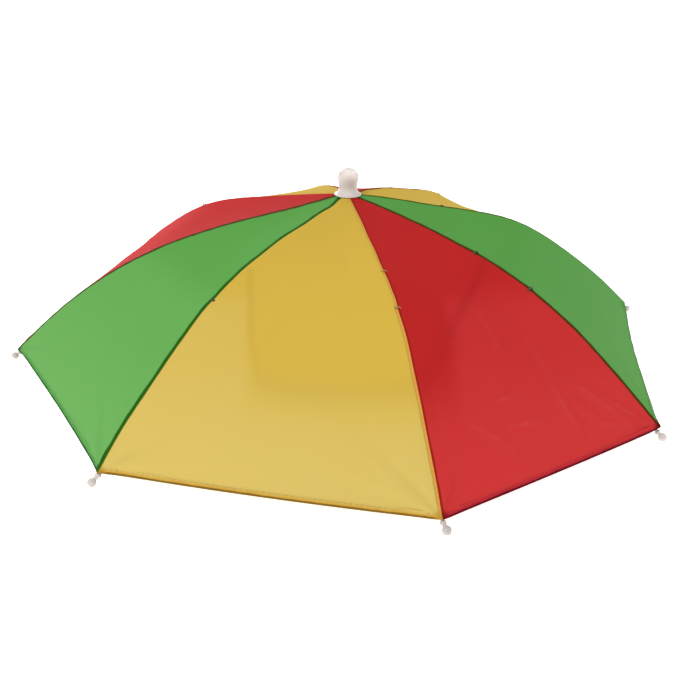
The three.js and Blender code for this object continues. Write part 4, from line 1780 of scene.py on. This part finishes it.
# %% Zigzags on the headband
# Each zigzag: its direction, how far it stands off the band's middle, the height of its own middle,
# how tall it is, its rows, and how wide they are
ZIGZAGS = [(LAP_ANGLE, 0.95 * MM, 10 * MM, 17 * MM, 9, 5 * MM)]
ZIGZAGS += [(RIB_ANGLES[rib], 1.75 * MM, 13.5 * MM, 9 * MM, 5, 4.4 * MM) for rib in STRAP_RIBS]
ZIGZAG_LENGTH = 2.2 * MM
ZIGZAG_RISE = 0.12 * MM
ZIGZAG_THREAD = 0.14 * MM


def band_stitches():
    """Places, facing and running directions of the zigzags' stitches."""
    places, faces, runs = [], [], []
    for angle, lift, height, tall, rows, wide in ZIGZAGS:
        out = np.array([math.cos(angle), math.sin(angle), 0])
        side = np.array([-math.sin(angle), math.cos(angle), 0])
        step = tall / rows
        for k in range(rows):
            rise = np.array([0, 0, height + (k - (rows - 1) / 2) * step])
            lean = step * (1 if k % 2 else -1) / 2
            run = side * wide / 2 + np.array([0, 0, lean])
            for column in (-1, 1):
                places.append(out * (BAND_RADIUS + lift) + side * column * wide / 4 + rise)
                faces.append(out)
                runs.append(run / np.linalg.norm(run))
    return places, faces, runs


white_thread = thread_material("white_thread", "#d8d4ca", "#b4aea2")
sew(
    "band_stitches", "band_elastic", SEWN_BOW,
    *band_stitches(), ZIGZAG_LENGTH, ZIGZAG_RISE, ZIGZAG_THREAD, white_thread,
)

# %% [markdown]
# ## Stage and light
# The hat stands on a pale floor that runs into a pale sky. Dark surroundings would tint the cloth,
# and a single lamp would give hard shadows, so most of the light is soft and comes from all round.
# The floor glows a little by itself, which keeps the hat's shadow faint. A broad lamp from the front
# left and a weaker one from behind give the gores their slight difference in brightness.

# %% Floor
FLOOR_HALF = 6.0
FLOOR_GLOW = 0.78
floor_corners = [(-FLOOR_HALF, -FLOOR_HALF, 0), (FLOOR_HALF, -FLOOR_HALF, 0)]
floor_corners += [(FLOOR_HALF, FLOOR_HALF, 0), (-FLOOR_HALF, FLOOR_HALF, 0)]
floor_mesh = bpy.data.meshes.new("floor")
floor_mesh.from_pydata(floor_corners, [], [(0, 1, 2, 3)])
floor = bpy.data.objects.new("floor", floor_mesh)
bpy.context.scene.collection.objects.link(floor)
floor_material, _, floor_shader = new_material("pale_floor")
floor_shader.inputs["Base Color"].default_value = (0.93, 0.93, 0.93, 1)
floor_shader.inputs["Roughness"].default_value = 0.9
floor_shader.inputs["Emission Color"].default_value = (1, 1, 1, 1)
floor_shader.inputs["Emission Strength"].default_value = FLOOR_GLOW
floor_mesh.materials.append(floor_material)
print("floor:", 2 * FLOOR_HALF, "m wide")

# %% Sky and lamps
world = bpy.data.worlds.new("Studio")
bpy.context.scene.world = world
world.use_nodes = True
sky = world.node_tree.nodes["Background"]
sky.inputs["Color"].default_value = (1.0, 1.0, 1.0, 1)
sky.inputs["Strength"].default_value = 1.0


def add_lamp(name, place, aim, size, power):
    """A square lamp that shines from its place to its aim."""
    lamp_data = bpy.data.lights.new(name, "AREA")
    lamp_data.size = size
    lamp_data.energy = power
    lamp = bpy.data.objects.new(name, lamp_data)
    lamp.location = place
    lamp.rotation_euler = (Vector(aim) - Vector(place)).to_track_quat("-Z", "Y").to_euler()
    bpy.context.scene.collection.objects.link(lamp)
    print(name, "lamp:", power, "W")


HAT_MIDDLE = (0, 0, 0.05)
add_lamp("key", (-1.1, -0.9, 1.7), HAT_MIDDLE, 0.6, 20)
add_lamp("back", (-0.3, 1.6, 0.8), HAT_MIDDLE, 0.8, 9)
bpy.context.scene.view_settings.view_transform = "Standard"
